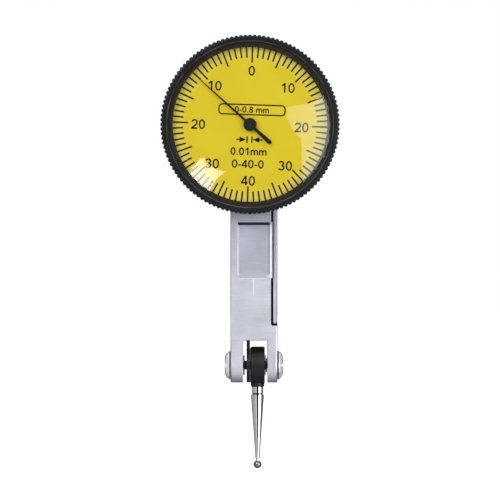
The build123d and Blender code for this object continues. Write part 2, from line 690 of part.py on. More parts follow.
bezel -= turned_y((rim_radius - overrun, spring_ring_y - bezel_groove_half),
                  (ring_outer_radius + running_gap, spring_ring_y - bezel_groove_half),
                  (ring_outer_radius + running_gap, spring_ring_y + bezel_groove_half),
                  (rim_radius - overrun, spring_ring_y + bezel_groove_half))
pieces["bezel"] = bezel

# Spring ring: split ring in a groove of the rim that holds the bezel on and brakes its turning
ring_front_y = spring_ring_y - spring_ring_thickness / 2
ring_back_y = spring_ring_y + spring_ring_thickness / 2
ring = rod_y(ring_outer_radius, ring_front_y, ring_back_y)
ring -= hole_y(rim_radius - spring_ring_depth, ring_front_y, ring_back_y)
ring -= slab(-spring_ring_split / 2, spring_ring_split / 2, ring_front_y - overrun, ring_back_y + overrun,
             0, bezel_radius)
pieces["bezel_spring_ring"] = ring

# Crystal: domed clear disc of even thickness, pressed in against the ledge
crystal_front_y = crystal_seat_y - crystal_edge
apex_y = crystal_front_y - crystal_rise
dome_outer = ThreePointArc((-crystal_radius, crystal_front_y), (0, apex_y),
                           (crystal_radius, crystal_front_y))
dome_inner = ThreePointArc((-window_radius, crystal_seat_y), (0, apex_y + crystal_edge),
                           (window_radius, crystal_seat_y))
edge_right = Polyline((crystal_radius, crystal_front_y), (crystal_radius, crystal_seat_y),
                      (window_radius, crystal_seat_y))
edge_left = Polyline((-window_radius, crystal_seat_y), (-crystal_radius, crystal_seat_y),
                     (-crystal_radius, crystal_front_y))
crystal_face = make_face([dome_outer, edge_right, dome_inner, edge_left])
half_plane = Pos(crystal_radius, apex_y) * Rectangle(2 * crystal_radius, 2 * crystal_radius)
pieces["crystal"] = revolve(crystal_face & half_plane, Axis.Y)

# Dial and the ring that holds it against the back of the ledge
dial = rod_y(bore_radius - seat_gap, dial_front_y, dial_back_y)
pieces["dial"] = dial - hole_y(dial_hole_radius, dial_front_y, dial_back_y)
dial_ring = rod_y(bore_radius - seat_gap, dial_back_y, dial_ring_back_y)
dial_ring -= hole_y(bore_radius - dial_ring_width, dial_back_y, dial_ring_back_y)
pieces["dial_retaining_ring"] = dial_ring

# Lever: flat plate with an eye on the pivot, a tapered arm and a toothed sector for the crown pinion
sector_root = sector_radius - dedendum * sector_module
sector_pitch = 2 * math.pi / sector_teeth
head_half = (sector_half_teeth + sector_end_land) * sector_pitch * sector_radius
head_low = sector_root - sector_head_height
head_shoulder = sector_root - sector_head_height / 3
arm_right = [(lever_arm_width_low / 2, 0), (lever_arm_width_high / 2, head_low),
             (head_half, head_shoulder), (head_half, sector_radius)]
arm_left = [(-x, y) for x, y in reversed(arm_right)]
arm_face = make_face(Polyline(*arm_right, *arm_left, close=True))
lever_face = (arm_face & Circle(sector_root)) + Circle(lever_eye_radius)
for place in range(2 * sector_half_teeth):
    middle = math.pi / 2 + (place - sector_half_teeth + 0.5) * sector_pitch
    tooth = make_face(Polyline(*tooth_points(sector_teeth, sector_module, middle), close=True))
    lever_face += tooth
lever = Pos(lever_left, axis_y, pivot_z) * extrude(Plane.YZ * lever_face, lever_thickness)
shaft_hole = rod_x(shaft_radius + seat_gap, fork_left, fork_right, axis_y, pivot_z)
pieces["lever_arm"] = lever - shaft_hole

# Pivot shaft with its thrust washer on the left and the friction clutch for the stylus on the right
shaft_left = fork_left + shaft_end_gap
shaft_right = fork_right - shaft_end_gap
shaft = rod_x(shaft_radius, shaft_left, shaft_right, axis_y, pivot_z)
for end_x, side in ((fork_left, -1), (fork_right, 1)):
    bore_end = end_x - side * (trunnion_length + shaft_end_gap)
    shaft -= rod_x(trunnion_radius + running_gap, bore_end, end_x + side * overrun, axis_y, pivot_z)
pieces["pivot_shaft"] = shaft


def washer(left_x, thickness, radius):
    """Flat ring on the pivot shaft."""
    return rod_x(radius, left_x, left_x + thickness, axis_y, pivot_z) - shaft_hole


clutch_nut_left = shaft_right - clutch_nut_thickness
clutch_washer_left = (drum_right + clutch_nut_left - clutch_washer_thickness) / 2
pieces["thrust_washer"] = washer(shaft_left, thrust_washer_thickness, thrust_washer_radius)
pieces["clutch_washer"] = washer(clutch_washer_left, clutch_washer_thickness, clutch_washer_radius)
pieces["clutch_nut"] = washer(clutch_nut_left, clutch_nut_thickness, clutch_nut_radius)

# Stylus holder: drum on the pivot shaft with a boss that takes the thread of the contact stem
drum = rod_x(drum_radius, drum_left, drum_right, axis_y, pivot_z)
drum_rims = drum.edges().filter_by(GeomType.CIRCLE).sort_by(Axis.X)
drum = fillet(drum_rims[0], drum_left_round)
drum = fillet(drum.edges().filter_by(GeomType.CIRCLE).sort_by(Axis.X)[-1], drum_right_round)
boss_end_z = pivot_z - drum_boss_drop
boss = Pos(drum_middle, axis_y, (pivot_z + boss_end_z) / 2) * Cylinder(drum_boss_radius, drum_boss_drop)
boss = chamfer(boss.edges().filter_by(GeomType.CIRCLE).sort_by(Axis.Z)[0], bar_edge_round / 2)
stem_hole_top = boss_end_z + stem_thread_length + seat_gap
stem_hole_place = Pos(drum_middle, axis_y, (stem_hole_top + boss_end_z) / 2)
drum = drum + boss - stem_hole_place * Cylinder(stem_thread_radius + seat_gap, stem_hole_top - boss_end_z)
pieces["stylus_holder"] = drum - hole_x(shaft_radius + running_gap, drum_left, drum_right, axis_y, pivot_z)

# Contact stem: thread, collar with two wrench flats, groove and long taper down to the neck of the ball
collar_top = boss_end_z - seat_gap
collar_end = collar_top - stem_collar_length
groove_end = collar_end - stem_groove_length
neck_end = ball_z + ball_radius - stem_neck_sink
taper_end = neck_end + stem_neck_length
neck_top = taper_end - stem_tip_radius + stem_neck_radius
stem_outline = [(0, stem_hole_top - seat_gap), (stem_thread_radius, stem_hole_top - seat_gap),
                (stem_thread_radius, collar_top), (stem_collar_radius, collar_top),
                (stem_collar_radius, collar_end), (stem_groove_radius, collar_end),
                (stem_groove_radius, groove_end), (stem_top_radius, groove_end),
                (stem_tip_radius, taper_end), (stem_neck_radius, neck_top),
                (stem_neck_radius, neck_end), (0, neck_end)]
stem = Pos(drum_middle, axis_y, 0) * Rot(90, 0, 0) * turned_y(*stem_outline)
for side in (-1, 1):
    stem -= slab(drum_middle + side * wrench_flat, drum_middle + side * 2 * stem_top_radius,
                 axis_y - stem_top_radius, axis_y + stem_top_radius, collar_end, collar_top)
pieces["contact_stem"] = stem

# Contact ball: hard ball brazed onto the neck of the stem
ball = Pos(drum_middle, axis_y, ball_z) * Sphere(ball_radius)
neck_place = Pos(drum_middle, axis_y, neck_end + ball_radius - seat_gap)
pieces["contact_ball"] = ball - neck_place * Cylinder(stem_neck_radius + seat_gap, 2 * ball_radius)

# Pointer and its hub, pushed onto the front end of the centre arbor
hub = rod_y(pointer_hub_radius, hub_front_y, pointer_front_y)
hub += rod_y(pointer_tube_radius, pointer_front_y, pointer_back_y + pointer_tube_length)
hub -= rod_y(centre_front_radius + seat_gap, hub_front_y + pointer_hub_height / 4, pointer_back_y + overrun)
pieces["pointer_hub"] = hub
needle = make_face(Polyline((-pointer_root_half, 0), (-pointer_tip_half, pointer_length - pointer_tip_half),
                            (0, pointer_length), (pointer_tip_half, pointer_length - pointer_tip_half),
                            (pointer_root_half, 0), close=True))
tail_end = pointer_tail_half - pointer_tail_length
needle += make_face(Polyline((-pointer_root_half, 0), (pointer_root_half, 0), (pointer_tail_half, tail_end),
                             (-pointer_tail_half, tail_end), close=True))
needle += Pos(0, tail_end) * Circle(pointer_tail_half)
needle += Circle(pointer_hub_radius)
needle -= Circle(pointer_tube_radius + seat_gap)
needle = Rot(0, 0, pointer_angle) * needle
pieces["pointer"] = Pos(0, pointer_back_y, 0) * extrude(Plane.XZ * needle, pointer_thickness)

os.makedirs("parts", exist_ok=True)
for name, piece in pieces.items():
    export_step(piece, f"parts/{name}.step")
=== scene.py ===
import math

import bpy
import numpy as np
from mathutils import Matrix, Vector


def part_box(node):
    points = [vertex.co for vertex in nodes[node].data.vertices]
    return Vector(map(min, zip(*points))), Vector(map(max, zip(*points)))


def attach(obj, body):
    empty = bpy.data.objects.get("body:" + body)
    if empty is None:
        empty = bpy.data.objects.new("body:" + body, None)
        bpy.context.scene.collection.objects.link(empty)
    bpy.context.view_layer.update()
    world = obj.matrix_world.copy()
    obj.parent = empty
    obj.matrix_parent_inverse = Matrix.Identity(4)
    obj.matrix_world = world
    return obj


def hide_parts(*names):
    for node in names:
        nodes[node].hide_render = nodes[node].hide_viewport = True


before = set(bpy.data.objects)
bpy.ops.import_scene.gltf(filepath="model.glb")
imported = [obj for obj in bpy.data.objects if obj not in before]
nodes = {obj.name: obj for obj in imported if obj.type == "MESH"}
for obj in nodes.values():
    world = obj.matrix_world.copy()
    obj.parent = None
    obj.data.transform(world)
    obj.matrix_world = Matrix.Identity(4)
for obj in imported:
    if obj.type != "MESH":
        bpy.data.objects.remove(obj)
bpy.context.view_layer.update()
MM = 0.001

# Body frame: round case, bar, fork and dovetail rail, machined from one piece of steel.
# It is blasted and satin-chromed. Its edges are lighter, partly from wear and partly a painted highlight, the
# floor of the pocket is darker, and the narrow groove beside the cover is painted dark as a painted shade.
cover_low, cover_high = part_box("side_cover")
BAR_FRONT = -12.05 * MM
POCKET_FLOOR = -11.15 * MM
POCKET_LEFT, POCKET_RIGHT = -2.64 * MM, 4.21 * MM
POCKET_END, POCKET_TOP = -32.5 * MM, -20.6 * MM
POCKET_SLOPE = 0.65 * MM              # the pocket's top wall leans by this much
POCKET_LAND = 0.34 * MM               # narrow land between pocket and groove, with a painted highlight
POCKET_FOOT = 0.1 * MM                # the pocket's lower edge has a painted highlight this far to each side
POCKET_ROUND = 0.9 * MM
GROOVE_WIDTH = 0.45 * MM
GROOVE_DEPTH = 1.2 * MM
GROOVE_TOP = -15 * MM
SCRIBE_X = 0.78 * MM                  # short scribed line under the pocket
SCRIBE_HALF = 0.06 * MM
SCRIBE_END, SCRIBE_TOP = -36.2 * MM, -32.8 * MM
FORK_LEFT, FORK_RIGHT = -1.44 * MM, 3.69 * MM
FORK_ROOF = -45.8 * MM
FORK_SHADE_WIDTH = 0.11 * MM                  # width of the painted shade line along the inner edges of the fork
FORK_TIPS = (-52.5 * MM, -49 * MM)    # the tips of the fork are painted lighter: a painted highlight
COVER_HIGHLIGHT = (4.62 * MM, 4.84 * MM)  # painted highlight line along the left edge of the cover
COVER_HIGHLIGHT_TOP = -33.5 * MM
COVER_SHADE = (5.5 * MM, 5.72 * MM)   # painted shade line along its right edge
COVER_ROUND = 0.62 * MM               # the cover's end is rounded
NEAR_CASE = (-36 * MM, -24 * MM)      # between these heights the chrome is painted darker towards the case: a painted shade
EDGE_REACH = 0.22 * MM                # width of the rounded edges, which are lighter: partly wear, partly a painted highlight
CHROME_RELIEF = 0.0022 * MM
SOFT = 0.03 * MM                      # width of the blend at the edge of a painted zone


class Field:
    """One output socket of a shader tree. Sums and products of fields add Math nodes to the tree."""

    def __init__(self, tree, socket):
        self.tree = tree
        self.socket = socket

    def node(self, kind, settings=None, sockets=None, output=0):
        """Any other node: its kind, then its settings, then the values or fields of its sockets."""
        made = self.tree.nodes.new("ShaderNode" + kind)
        for name, value in (settings or {}).items():
            setattr(made, name, value)
        for key, value in (sockets or {}).items():
            if isinstance(value, Field):
                self.tree.links.new(value.socket, made.inputs[key])
            else:
                made.inputs[key].default_value = value
        return Field(self.tree, made.outputs[output])

    def math(self, operation, first, second=0.0):
        return self.node("Math", {"operation": operation}, {0: first, 1: second})

    def __add__(self, other):
        return self.math("ADD", self, other)

    __radd__ = __add__

    def __sub__(self, other):
        return self.math("SUBTRACT", self, other)

    def __rsub__(self, other):
        return self.math("SUBTRACT", other, self)

    def __mul__(self, other):
        return self.math("MULTIPLY", self, other)

    __rmul__ = __mul__

    def larger(self, other):
        """The larger of two fields, or of a field and a number."""
        return self.math("MAXIMUM", self, other)

    def root(self):
        return self.math("SQRT", self)

    def split(self):
        """The three components of a vector field."""
        apart = self.node("SeparateXYZ", {}, {"Vector": self}).socket.node
        return [Field(self.tree, socket) for socket in apart.outputs]

    def from_axis(self):
        """Distance of a place from the dial axis, sqrt(x x + z z)."""
        x, y, z = self.split()
        return (x * x + z * z).root()

    def noise(self, scale, detail=2.0, stretch=(1.0, 1.0, 1.0)):
        """Cloudy grain over a place; scale is grains per metre and stretch squeezes it along an axis."""
        place = self.node("Mapping", {}, {"Vector": self, "Scale": stretch})
        return place.node("TexNoise", {}, {"Vector": place, "Scale": scale, "Detail": detail})

    def between(self, low, high):
        """The field spread so that low becomes 0 and high becomes 1, and held there."""
        return self.node("MapRange", {"clamp": True}, {"Value": self, "From Min": low, "From Max": high})

    def within(self, low, high, soft=SOFT):
        """1 between two levels and 0 outside them, blended over a soft width."""
        return self.between(low - soft, low) * (1 - self.between(high, high + soft))

    def tint(self, dark, light):
        """Colour that goes from dark to light as the field goes from 0 to 1."""
        return self.node("Mix", {"data_type": "RGBA"}, {0: self, 6: dark, 7: light}, output=2)

    def edges(self, reach):
        """Normal that is rounded over a reach at sharp edges, and a field that is 1 on them."""
        rounded = self.node("Bevel", {"samples": 6}, {"Radius": reach})
        plain = self.node("NewGeometry", output="Normal")
        match = self.node("VectorMath", {"operation": "DOT_PRODUCT"}, {0: rounded, 1: plain},
                          output="Value")
        return rounded, (1 - match).between(0.01, 0.2)

    def bump(self, depth, normal=None):
        """Normal of a surface that the field raises by up to depth."""
        sockets = {"Height": self, "Strength": 1.0, "Distance": depth}
        if normal:
            sockets["Normal"] = normal
        return self.node("Bump", {}, sockets)


def paint(red, green, blue):
    """Linear colour of a shade that is written as it looks on a screen, 0 to 255."""
    screen = np.array([red, green, blue]) / 255
    linear = np.where(screen > 0.04045, ((screen + 0.055) / 1.055) ** 2.4, screen / 12.92)
    return (*linear.tolist(), 1.0)


def new_finish(name, **constants):
    """Material with one Principled shader. Returns it, its place field and a function that feeds a socket."""
    material = bpy.data.materials.new(name)
    material.use_nodes = True
    tree = material.node_tree
    shader = tree.nodes["Principled BSDF"]
    for socket, value in constants.items():
        shader.inputs[socket.replace("_", " ")].default_value = value
    place = Field(tree, tree.nodes.new("ShaderNodeTexCoord").outputs["Object"])

    def feed(socket, field):
        tree.links.new(field.socket, shader.inputs[socket])

    return material, place, feed


def dress(material, *names):
    """Gives a finish to CAD nodes that keep their own shape."""
    for name in names:
        nodes[name].data.materials.clear()
        nodes[name].data.materials.append(material)


# Chrome colours: the ones by the case, for the shaded line and for the dark lines are painted shade; those of
# the fork tips and the cover's line are painted highlights; the edge colour is wear and painted highlight.
CHROME = (paint(197, 199, 208), paint(224, 225, 233))
CHROME_SHADED_BY_CASE = (paint(160, 163, 174), paint(183, 186, 197))
CHROME_IN_POCKET = (paint(173, 174, 184), paint(200, 201, 210))
CHROME_SHADED = paint(150, 152, 156)
CHROME_TIP_HIGHLIGHT = paint(240, 241, 248)
CHROME_EDGE_WEAR_AND_HIGHLIGHT = paint(236, 237, 242)
CHROME_HIGHLIGHT = paint(250, 251, 253)
CHROME_SCRIBED = paint(246, 247, 250)
PAINTED_SHADE = paint(22, 23, 27)


def pocket_zones(x, y, z, sunk):
    """Fields that are 1 on the pocket's floor, on its leaning top wall, which carries a painted shade, and on
    its
    edges with painted highlights: the land on its right and the edge at its foot. sunk is 1 behind the front
    of the bar.
    Floor, wall and foot have no limit at the back, so they also show on the rear face of the bar."""
    across = x.within(POCKET_LEFT, POCKET_RIGHT)
    floor = y.between(POCKET_FLOOR - 2 * SOFT, POCKET_FLOOR) * across * z.within(POCKET_END, POCKET_TOP)
    # the leaning top wall is painted dark: a painted shade
    lean_shade = sunk * across * z.within(POCKET_TOP - POCKET_SLOPE, POCKET_TOP)
    land = (x.within(POCKET_RIGHT, POCKET_RIGHT + POCKET_LAND)
            * z.within(POCKET_END, POCKET_TOP - POCKET_SLOPE))
    foot = (x.within(POCKET_LEFT + POCKET_ROUND, POCKET_RIGHT - POCKET_ROUND)
            * z.within(POCKET_END - POCKET_FOOT, POCKET_END + POCKET_FOOT))
    return floor, lean_shade, (0.9 * (1 - sunk) * land).larger(0.6 * foot)


def cover_zones(x, y, z, sunk):
    """Fields that are 1 on the painted shade around the cover, on its painted shade line and on its painted
    highlight line. The painted shade lies in the groove and outside the rounded corners of the cover's end,
    measured from their centres."""
    beside = x.within(cover_low.x - 2 * SOFT, cover_low.x + GROOVE_WIDTH)
    under = (x.between(cover_low.x - 2 * SOFT, cover_low.x - SOFT)
             * (1 - z.between(cover_low.z, cover_low.z + SOFT)))
    groove = (sunk * y.within(BAR_FRONT, BAR_FRONT + GROOVE_DEPTH) * beside.larger(under)
              * z.within(cover_low.z - GROOVE_WIDTH - SOFT, GROOVE_TOP))
    on_cover = ((1 - sunk) * z.between(cover_low.z, cover_low.z + SOFT)
                * x.between(cover_low.x, cover_low.x + SOFT))
    inward = (cover_low.x + COVER_ROUND - x).larger(x - (cover_high.x - COVER_ROUND)).larger(0.0)
    upward = (cover_low.z + COVER_ROUND - z).larger(0.0)
    outside = (inward * inward + upward * upward).root().between(COVER_ROUND - SOFT, COVER_ROUND)
    shaded = on_cover * x.within(*COVER_SHADE)
    painted_highlight = on_cover * x.within(*COVER_HIGHLIGHT) * (1 - z.between(COVER_HIGHLIGHT_TOP, COVER_HIGHLIGHT_TOP + MM))
    return groove.larger(on_cover * outside), shaded, painted_highlight


def satin_chrome():
    """Blasted and chromed steel: grain in colour, roughness and relief, painted shade near the case, darker
    in the pocket, edges lighter from wear and painted highlight, painted highlights on the fork tips, the
    cover and the pocket's edges, painted shade in the groove, on the pocket's top wall and inside the fork,
    and one scribed line."""
    material, place, feed = new_finish("satin_chrome")
    x, y, z = place.split()
    sunk = y.between(BAR_FRONT + SOFT, BAR_FRONT + 4 * SOFT)
    rounded, edge = place.edges(EDGE_REACH)
    floor, lean_shade, pocket_highlight = pocket_zones(x, y, z, sunk)
    shade_around_cover, cover_shade, cover_highlight = cover_zones(x, y, z, sunk)
    painted_highlight = cover_highlight.larger(pocket_highlight)
    scribe = ((1 - sunk) * x.within(SCRIBE_X - SCRIBE_HALF, SCRIBE_X + SCRIBE_HALF)
              * z.within(SCRIBE_END, SCRIBE_TOP))
    fork = 1 - z.between(FORK_ROOF + FORK_SHADE_WIDTH, FORK_ROOF + FORK_SHADE_WIDTH + SOFT)
    # a painted shade line along the inner edges of the fork
    fork_shade = (1 - sunk) * fork * x.within(FORK_LEFT - FORK_SHADE_WIDTH, FORK_RIGHT + FORK_SHADE_WIDTH)
    # dark is painted shade: in the groove and outside the cover's rounded end, on the pocket's top wall and
    # along the fork
    dark = shade_around_cover.larger((0.92 * lean_shade).larger(0.75 * fork_shade))

    grain = place.noise(9000, 3.0)
    clouds = place.noise(260, 3.0)
    strokes = place.noise(700, 4.0, stretch=(0.6, 1.0, 7.0))
    shade = (0.35 * grain + 0.3 * clouds + 0.35 * strokes).between(0.32, 0.68)
    # the chrome is painted darker towards the case, a painted shade
    face = (0.75 * z.between(*NEAR_CASE)).tint(shade.tint(*CHROME), shade.tint(*CHROME_SHADED_BY_CASE))
    face = floor.tint(face, shade.tint(*CHROME_IN_POCKET))
    # a painted shade line along the cover's right edge
    face = cover_shade.tint(face, CHROME_SHADED)
    # the fork tips get a painted highlight
    face = (0.6 * (1 - z.between(*FORK_TIPS))).tint(face, CHROME_TIP_HIGHLIGHT)
    # the edges are lighter: wear and a painted highlight
    face = edge.tint(face, CHROME_EDGE_WEAR_AND_HIGHLIGHT)
    # painted highlights on the cover's line, the pocket's land and its foot
    face = painted_highlight.tint(face, CHROME_HIGHLIGHT)
    face = scribe.tint(face, CHROME_SCRIBED)
    feed("Base Color", dark.tint(face, PAINTED_SHADE))
    feed("Metallic", 1 - 0.5 * edge.larger(painted_highlight))
    feed("Roughness", 0.33 + 0.1 * clouds + 0.1 * strokes - 0.1 * edge)
    feed("Normal", (grain + 0.6 * strokes - scribe).bump(CHROME_RELIEF, rounded))
    return material


chrome = satin_chrome()
dress(chrome, "body_frame")

# Side cover: chromed strip on the right of the bar that closes the lever channel.
# It is finished with the bar and held by three countersunk slotted screws.
dress(chrome, "side_cover")


NO_GROOVE = (1.0, 1.0)                # heights far above the instrument
POLISH_RELIEF = 0.0004 * MM


def polished_metal(name, dark, light, groove=NO_GROOVE):
    """Hard metal with a mirror polish: only the faintest turning lines and a few dull spots are left.
    Between the two heights of a groove it is painted dark, a painted shade."""
    material, place, feed = new_finish(name, Metallic=1.0)
    wear = place.noise(1500, 3.0)
    lines = place.noise(2500, 2.0, stretch=(1.0, 1.0, 6.0))
    # painted shade in the groove
    shade_mask = place.split()[2].within(*groove)
    face = wear.between(0.3, 0.7).tint(dark, light)
    feed("Base Color", shade_mask.tint(face, paint(46, 43, 40)))
    feed("Roughness", 0.04 + 0.06 * wear + 0.3 * shade_mask)
    feed("Normal", lines.bump(POLISH_RELIEF))
    return material


STEEL = (paint(226, 223, 218), paint(240, 239, 237))
polish = polished_metal("polished_steel", *STEEL)
dress(polish, "side_cover_screws")

# Pivot screws: domed heads outside the two ears of the fork, turned, slotted and nickel-plated.
# The corner between each head and its ear is painted dark, a painted shade.
EAR_LEFT, EAR_RIGHT = -4.12 * MM, 5.87 * MM
EAR_SHADE = 0.26 * MM                   # width of the painted shade on the heads


def head_nickel():
    """Bright, slightly milky nickel plate with fine dull spots, with painted shade close to the ears."""
    material, place, feed = new_finish("head_nickel")
    wear = place.noise(1500, 3.0)
    # painted shade close to the ears
    shade_mask = place.split()[0].within(EAR_LEFT - EAR_SHADE, EAR_RIGHT + EAR_SHADE)
    face = wear.between(0.3, 0.7).tint(paint(243, 242, 240), paint(252, 252, 251))
    feed("Base Color", shade_mask.tint(face, paint(62, 60, 58)))
    feed("Metallic", 0.5 + 0.3 * shade_mask)
    feed("Roughness", 0.06 + 0.08 * wear + 0.2 * shade_mask)
    return material


dress(head_nickel(), "pivot_screw_left", "pivot_screw_right")

# Movement: brass plates, pillars and bearings, steel arbors and screws, ruby rings and a bronze hairspring.
# It is hidden by the dial, and finished as a clock movement is: circular-grained brass and bright steel.
GRAIN_RELIEF = 0.0015 * MM


def grained_metal(name, dark, light, roughness):
    """Machined metal with a fine circular grain around the dial axis and slight tarnish in clouds."""
    material, place, feed = new_finish(name, Metallic=1.0)
    tarnish = place.noise(400, 3.0)
    reach = place.from_axis()
    rings = reach.node("TexNoise", {"noise_dimensions": "1D"}, {"W": reach, "Scale": 9000.0})
    feed("Base Color", (0.6 * tarnish + 0.4 * rings).between(0.3, 0.7).tint(dark, light))
    feed("Roughness", roughness + 0.12 * tarnish)
    feed("Normal", rings.bump(GRAIN_RELIEF))
    return material


brass = grained_metal("movement_brass", paint(176, 134, 62), paint(206, 166, 88), 0.22)
dress(brass, "movement_plate", "movement_pillars", "front_plate", "crown_bearing_left", "crown_bearing_right",
      "centre_cock", "crown_wheel", "hairspring_collet")
bright = grained_metal("bright_steel", paint(168, 170, 174), paint(204, 206, 210), 0.16)
dress(bright, "movement_screws", "front_plate_screws", "cock_screws", "crown_arbor", "centre_arbor",
      "hairspring_stud", "bezel_spring_ring", "dial_retaining_ring")
bronze = grained_metal("spring_bronze", paint(150, 104, 70), paint(184, 132, 92), 0.2)
dress(bronze, "hairspring")


def ruby_stone():
    """Polished synthetic ruby with a slightly uneven depth of colour."""
    material, place, feed = new_finish("ruby", Roughness=0.06, Transmission_Weight=0.4, IOR=1.76)
    depth = place.noise(3000, 2.0)
    feed("Base Color", depth.tint(paint(120, 10, 34), paint(184, 26, 60)))
    return material


dress(ruby_stone(), "crown_jewels", "centre_jewel_rear", "centre_jewel_front")

# Lever, stylus holder and clutch: steel, blackened in a hot salt bath, oiled and lightly rubbed.
# The lever is a flat stamped plate and the holder a turned drum, both on the pivot shaft.
RUBBED_EDGE = 0.1 * MM
BLACK_RELIEF = 0.002 * MM


def black_oxide():
    """Blackened steel: near black, satin, with a turned grain, greyer on rubbed patches and edges."""
    material, place, feed = new_finish("black_oxide", Specular_IOR_Level=0.32)
    grain = place.noise(6000, 3.0)
    turned = place.noise(2600, 3.0, stretch=(5.0, 1.0, 1.0))
    rubbed = place.noise(500, 3.0)
    rounded, edge = place.edges(RUBBED_EDGE)
    shade = (0.5 * rubbed + 0.3 * turned + 0.2 * grain).between(0.3, 0.7)
    face = shade.tint(paint(12, 12, 14), paint(25, 25, 28))
    feed("Base Color", (edge * rubbed).tint(face, paint(40, 40, 43)))
    feed("Roughness", 0.34 + 0.14 * rubbed)
    feed("Normal", (grain + turned).bump(BLACK_RELIEF, rounded))
    return material


blackened = black_oxide()
dress(blackened, "lever_arm", "pivot_shaft", "thrust_washer", "clutch_washer", "clutch_nut", "stylus_holder")

# Contact stem and ball: hard steel stem that screws into the holder, and a carbide ball brazed to its neck.
# Both are polished. The groove below the collar of the stem is painted dark, a painted shade.
STEM_GROOVE = (-57.36 * MM, -57.04 * MM)
CARBIDE = (paint(128, 127, 125), paint(152, 151, 149))
dress(polished_metal("stem_steel", *STEEL, STEM_GROOVE), "contact_stem")
dress(polished_metal("ball_carbide", *CARBIDE), "contact_ball")

# Dial: aluminium disc with a matt yellow enamel, held in the bezel and turned with it.
# The graduation, numbers and marks are printed on it in black.
dial_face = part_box("dial")[0].y
RIM_LIFT = (13.4 * MM, 15.8 * MM)  # between these radii the enamel is painted paler: painted light against the bezel's shade
INK = 0.02 * MM                       # thickness of the printed layer
DIAL_TURN = math.radians(1.9)         # the dial was left turned by this much, clockwise


def yellow_enamel():
    """Matt enamel: a very fine grain in relief, slightly uneven colour, painted paler towards the rim as
    painted light.
    """
    material, place, feed = new_finish("yellow_enamel", Specular_IOR_Level=0.2)
    grain = place.noise(7000, 3.0)
    clouds = place.noise(120, 2.0)
    # painted light: the enamel is paler towards the rim
    rim = place.from_axis().between(*RIM_LIFT)
    face = (0.3 * grain + 0.7 * clouds).between(0.3, 0.7).tint(paint(220, 196, 27), paint(228, 205, 37))
    feed("Base Color", rim.tint(face, paint(235, 218, 92)))
    feed("Roughness", 0.5 + 0.15 * grain)
    feed("Normal", grain.bump(GRAIN_RELIEF))
    return material


def printing_ink():
    """Black screen-printing ink: dense, with a slightly broken surface."""
    material, place, feed = new_finish("printing_ink", Specular_IOR_Level=0.2)
    grain = place.noise(9000, 3.0)
    feed("Base Color", grain.between(0.3, 0.75).tint(paint(8, 7, 4), paint(18, 16, 10)))
    feed("Roughness", 0.5 + 0.2 * grain)
    return material


ink = printing_ink()
dress(yellow_enamel(), "dial")


def piece(name, points, faces, material, body, smooth_angle=None):
    """Puts a surface into the scene as a piece that rides on a body, with faces outward."""
    mesh = bpy.data.meshes.new(name)
    mesh.from_pydata(points.reshape(-1, 3).tolist(), [], faces)
    mesh.materials.append(material)
    if smooth_angle:
        mesh.polygons.foreach_set("use_smooth", np.ones(len(mesh.polygons), dtype=bool))
        mesh.set_sharp_from_angle(angle=smooth_angle)
    mesh.update()
    made = bpy.data.objects.new(name, mesh)
    bpy.context.scene.collection.objects.link(made)
    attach(made, body)
    return made


def on_dial(flat):
    """Places of points (x right, z up) on the turned dial: turned clockwise about its axis."""
    x, z = flat[..., 0], flat[..., 1]
    cosine, sine = math.cos(DIAL_TURN), math.sin(DIAL_TURN)
    return np.stack([x * cosine + z * sine, z * cosine - x * sine], axis=-1)


def printed(name, outlines):
    """Thin prisms of ink on the dial. outlines is an array (marks, corners, 2), corners counter-clockwise as
    the dial is seen; each outline is drawn once at the dial's face and once at the top of the ink."""
    marks, corners = outlines.shape[:2]
    flat = on_dial(outlines)
    depth = np.array([dial_face + INK / 2, dial_face - INK])
    points = np.empty((marks, 2, corners, 3))
    points[..., 0] = flat[:, None, :, 0]
    points[..., 1] = depth[None, :, None]
    points[..., 2] = flat[:, None, :, 1]
    first = (np.arange(marks) * 2 * corners)[:, None]
    ring = np.arange(corners)
    after = np.roll(ring, -1)
    front = first + corners + ring
    back = first + ring[::-1]
    sides = np.stack([first + ring, first + after, first + corners + after, first + corners + ring], axis=-1)
    faces = front.tolist() + back.tolist() + sides.reshape(-1, 4).tolist()
    return piece(name, points, faces, ink, "bezel")


DIVISIONS = 80
LONG_EVERY = 5
TICK_OUTER = 16.6 * MM
TICK_SHORT = 14.15 * MM
TICK_LONG = 13.1 * MM
TICK_HALF = 0.17 * MM

# Tick k points at k divisions from the top: its corners are inner or outer radius along that direction,
# plus or minus half a line across it.
tick = np.arange(DIVISIONS)
bearing = 2 * np.pi * tick / DIVISIONS
along = np.stack([np.sin(bearing), np.cos(bearing)], axis=-1)
across = np.stack([np.cos(bearing), -np.sin(bearing)], axis=-1)
inner = np.where(tick % LONG_EVERY == 0, TICK_LONG, TICK_SHORT)
reach = np.stack([inner, inner, np.full(DIVISIONS, TICK_OUTER), np.full(DIVISIONS, TICK_OUTER)], axis=-1)
side = np.array([-1, 1, 1, -1]) * TICK_HALF
printed("dial_graduation", reach[..., None] * along[:, None, :] + side[None, :, None] * across[:, None, :])


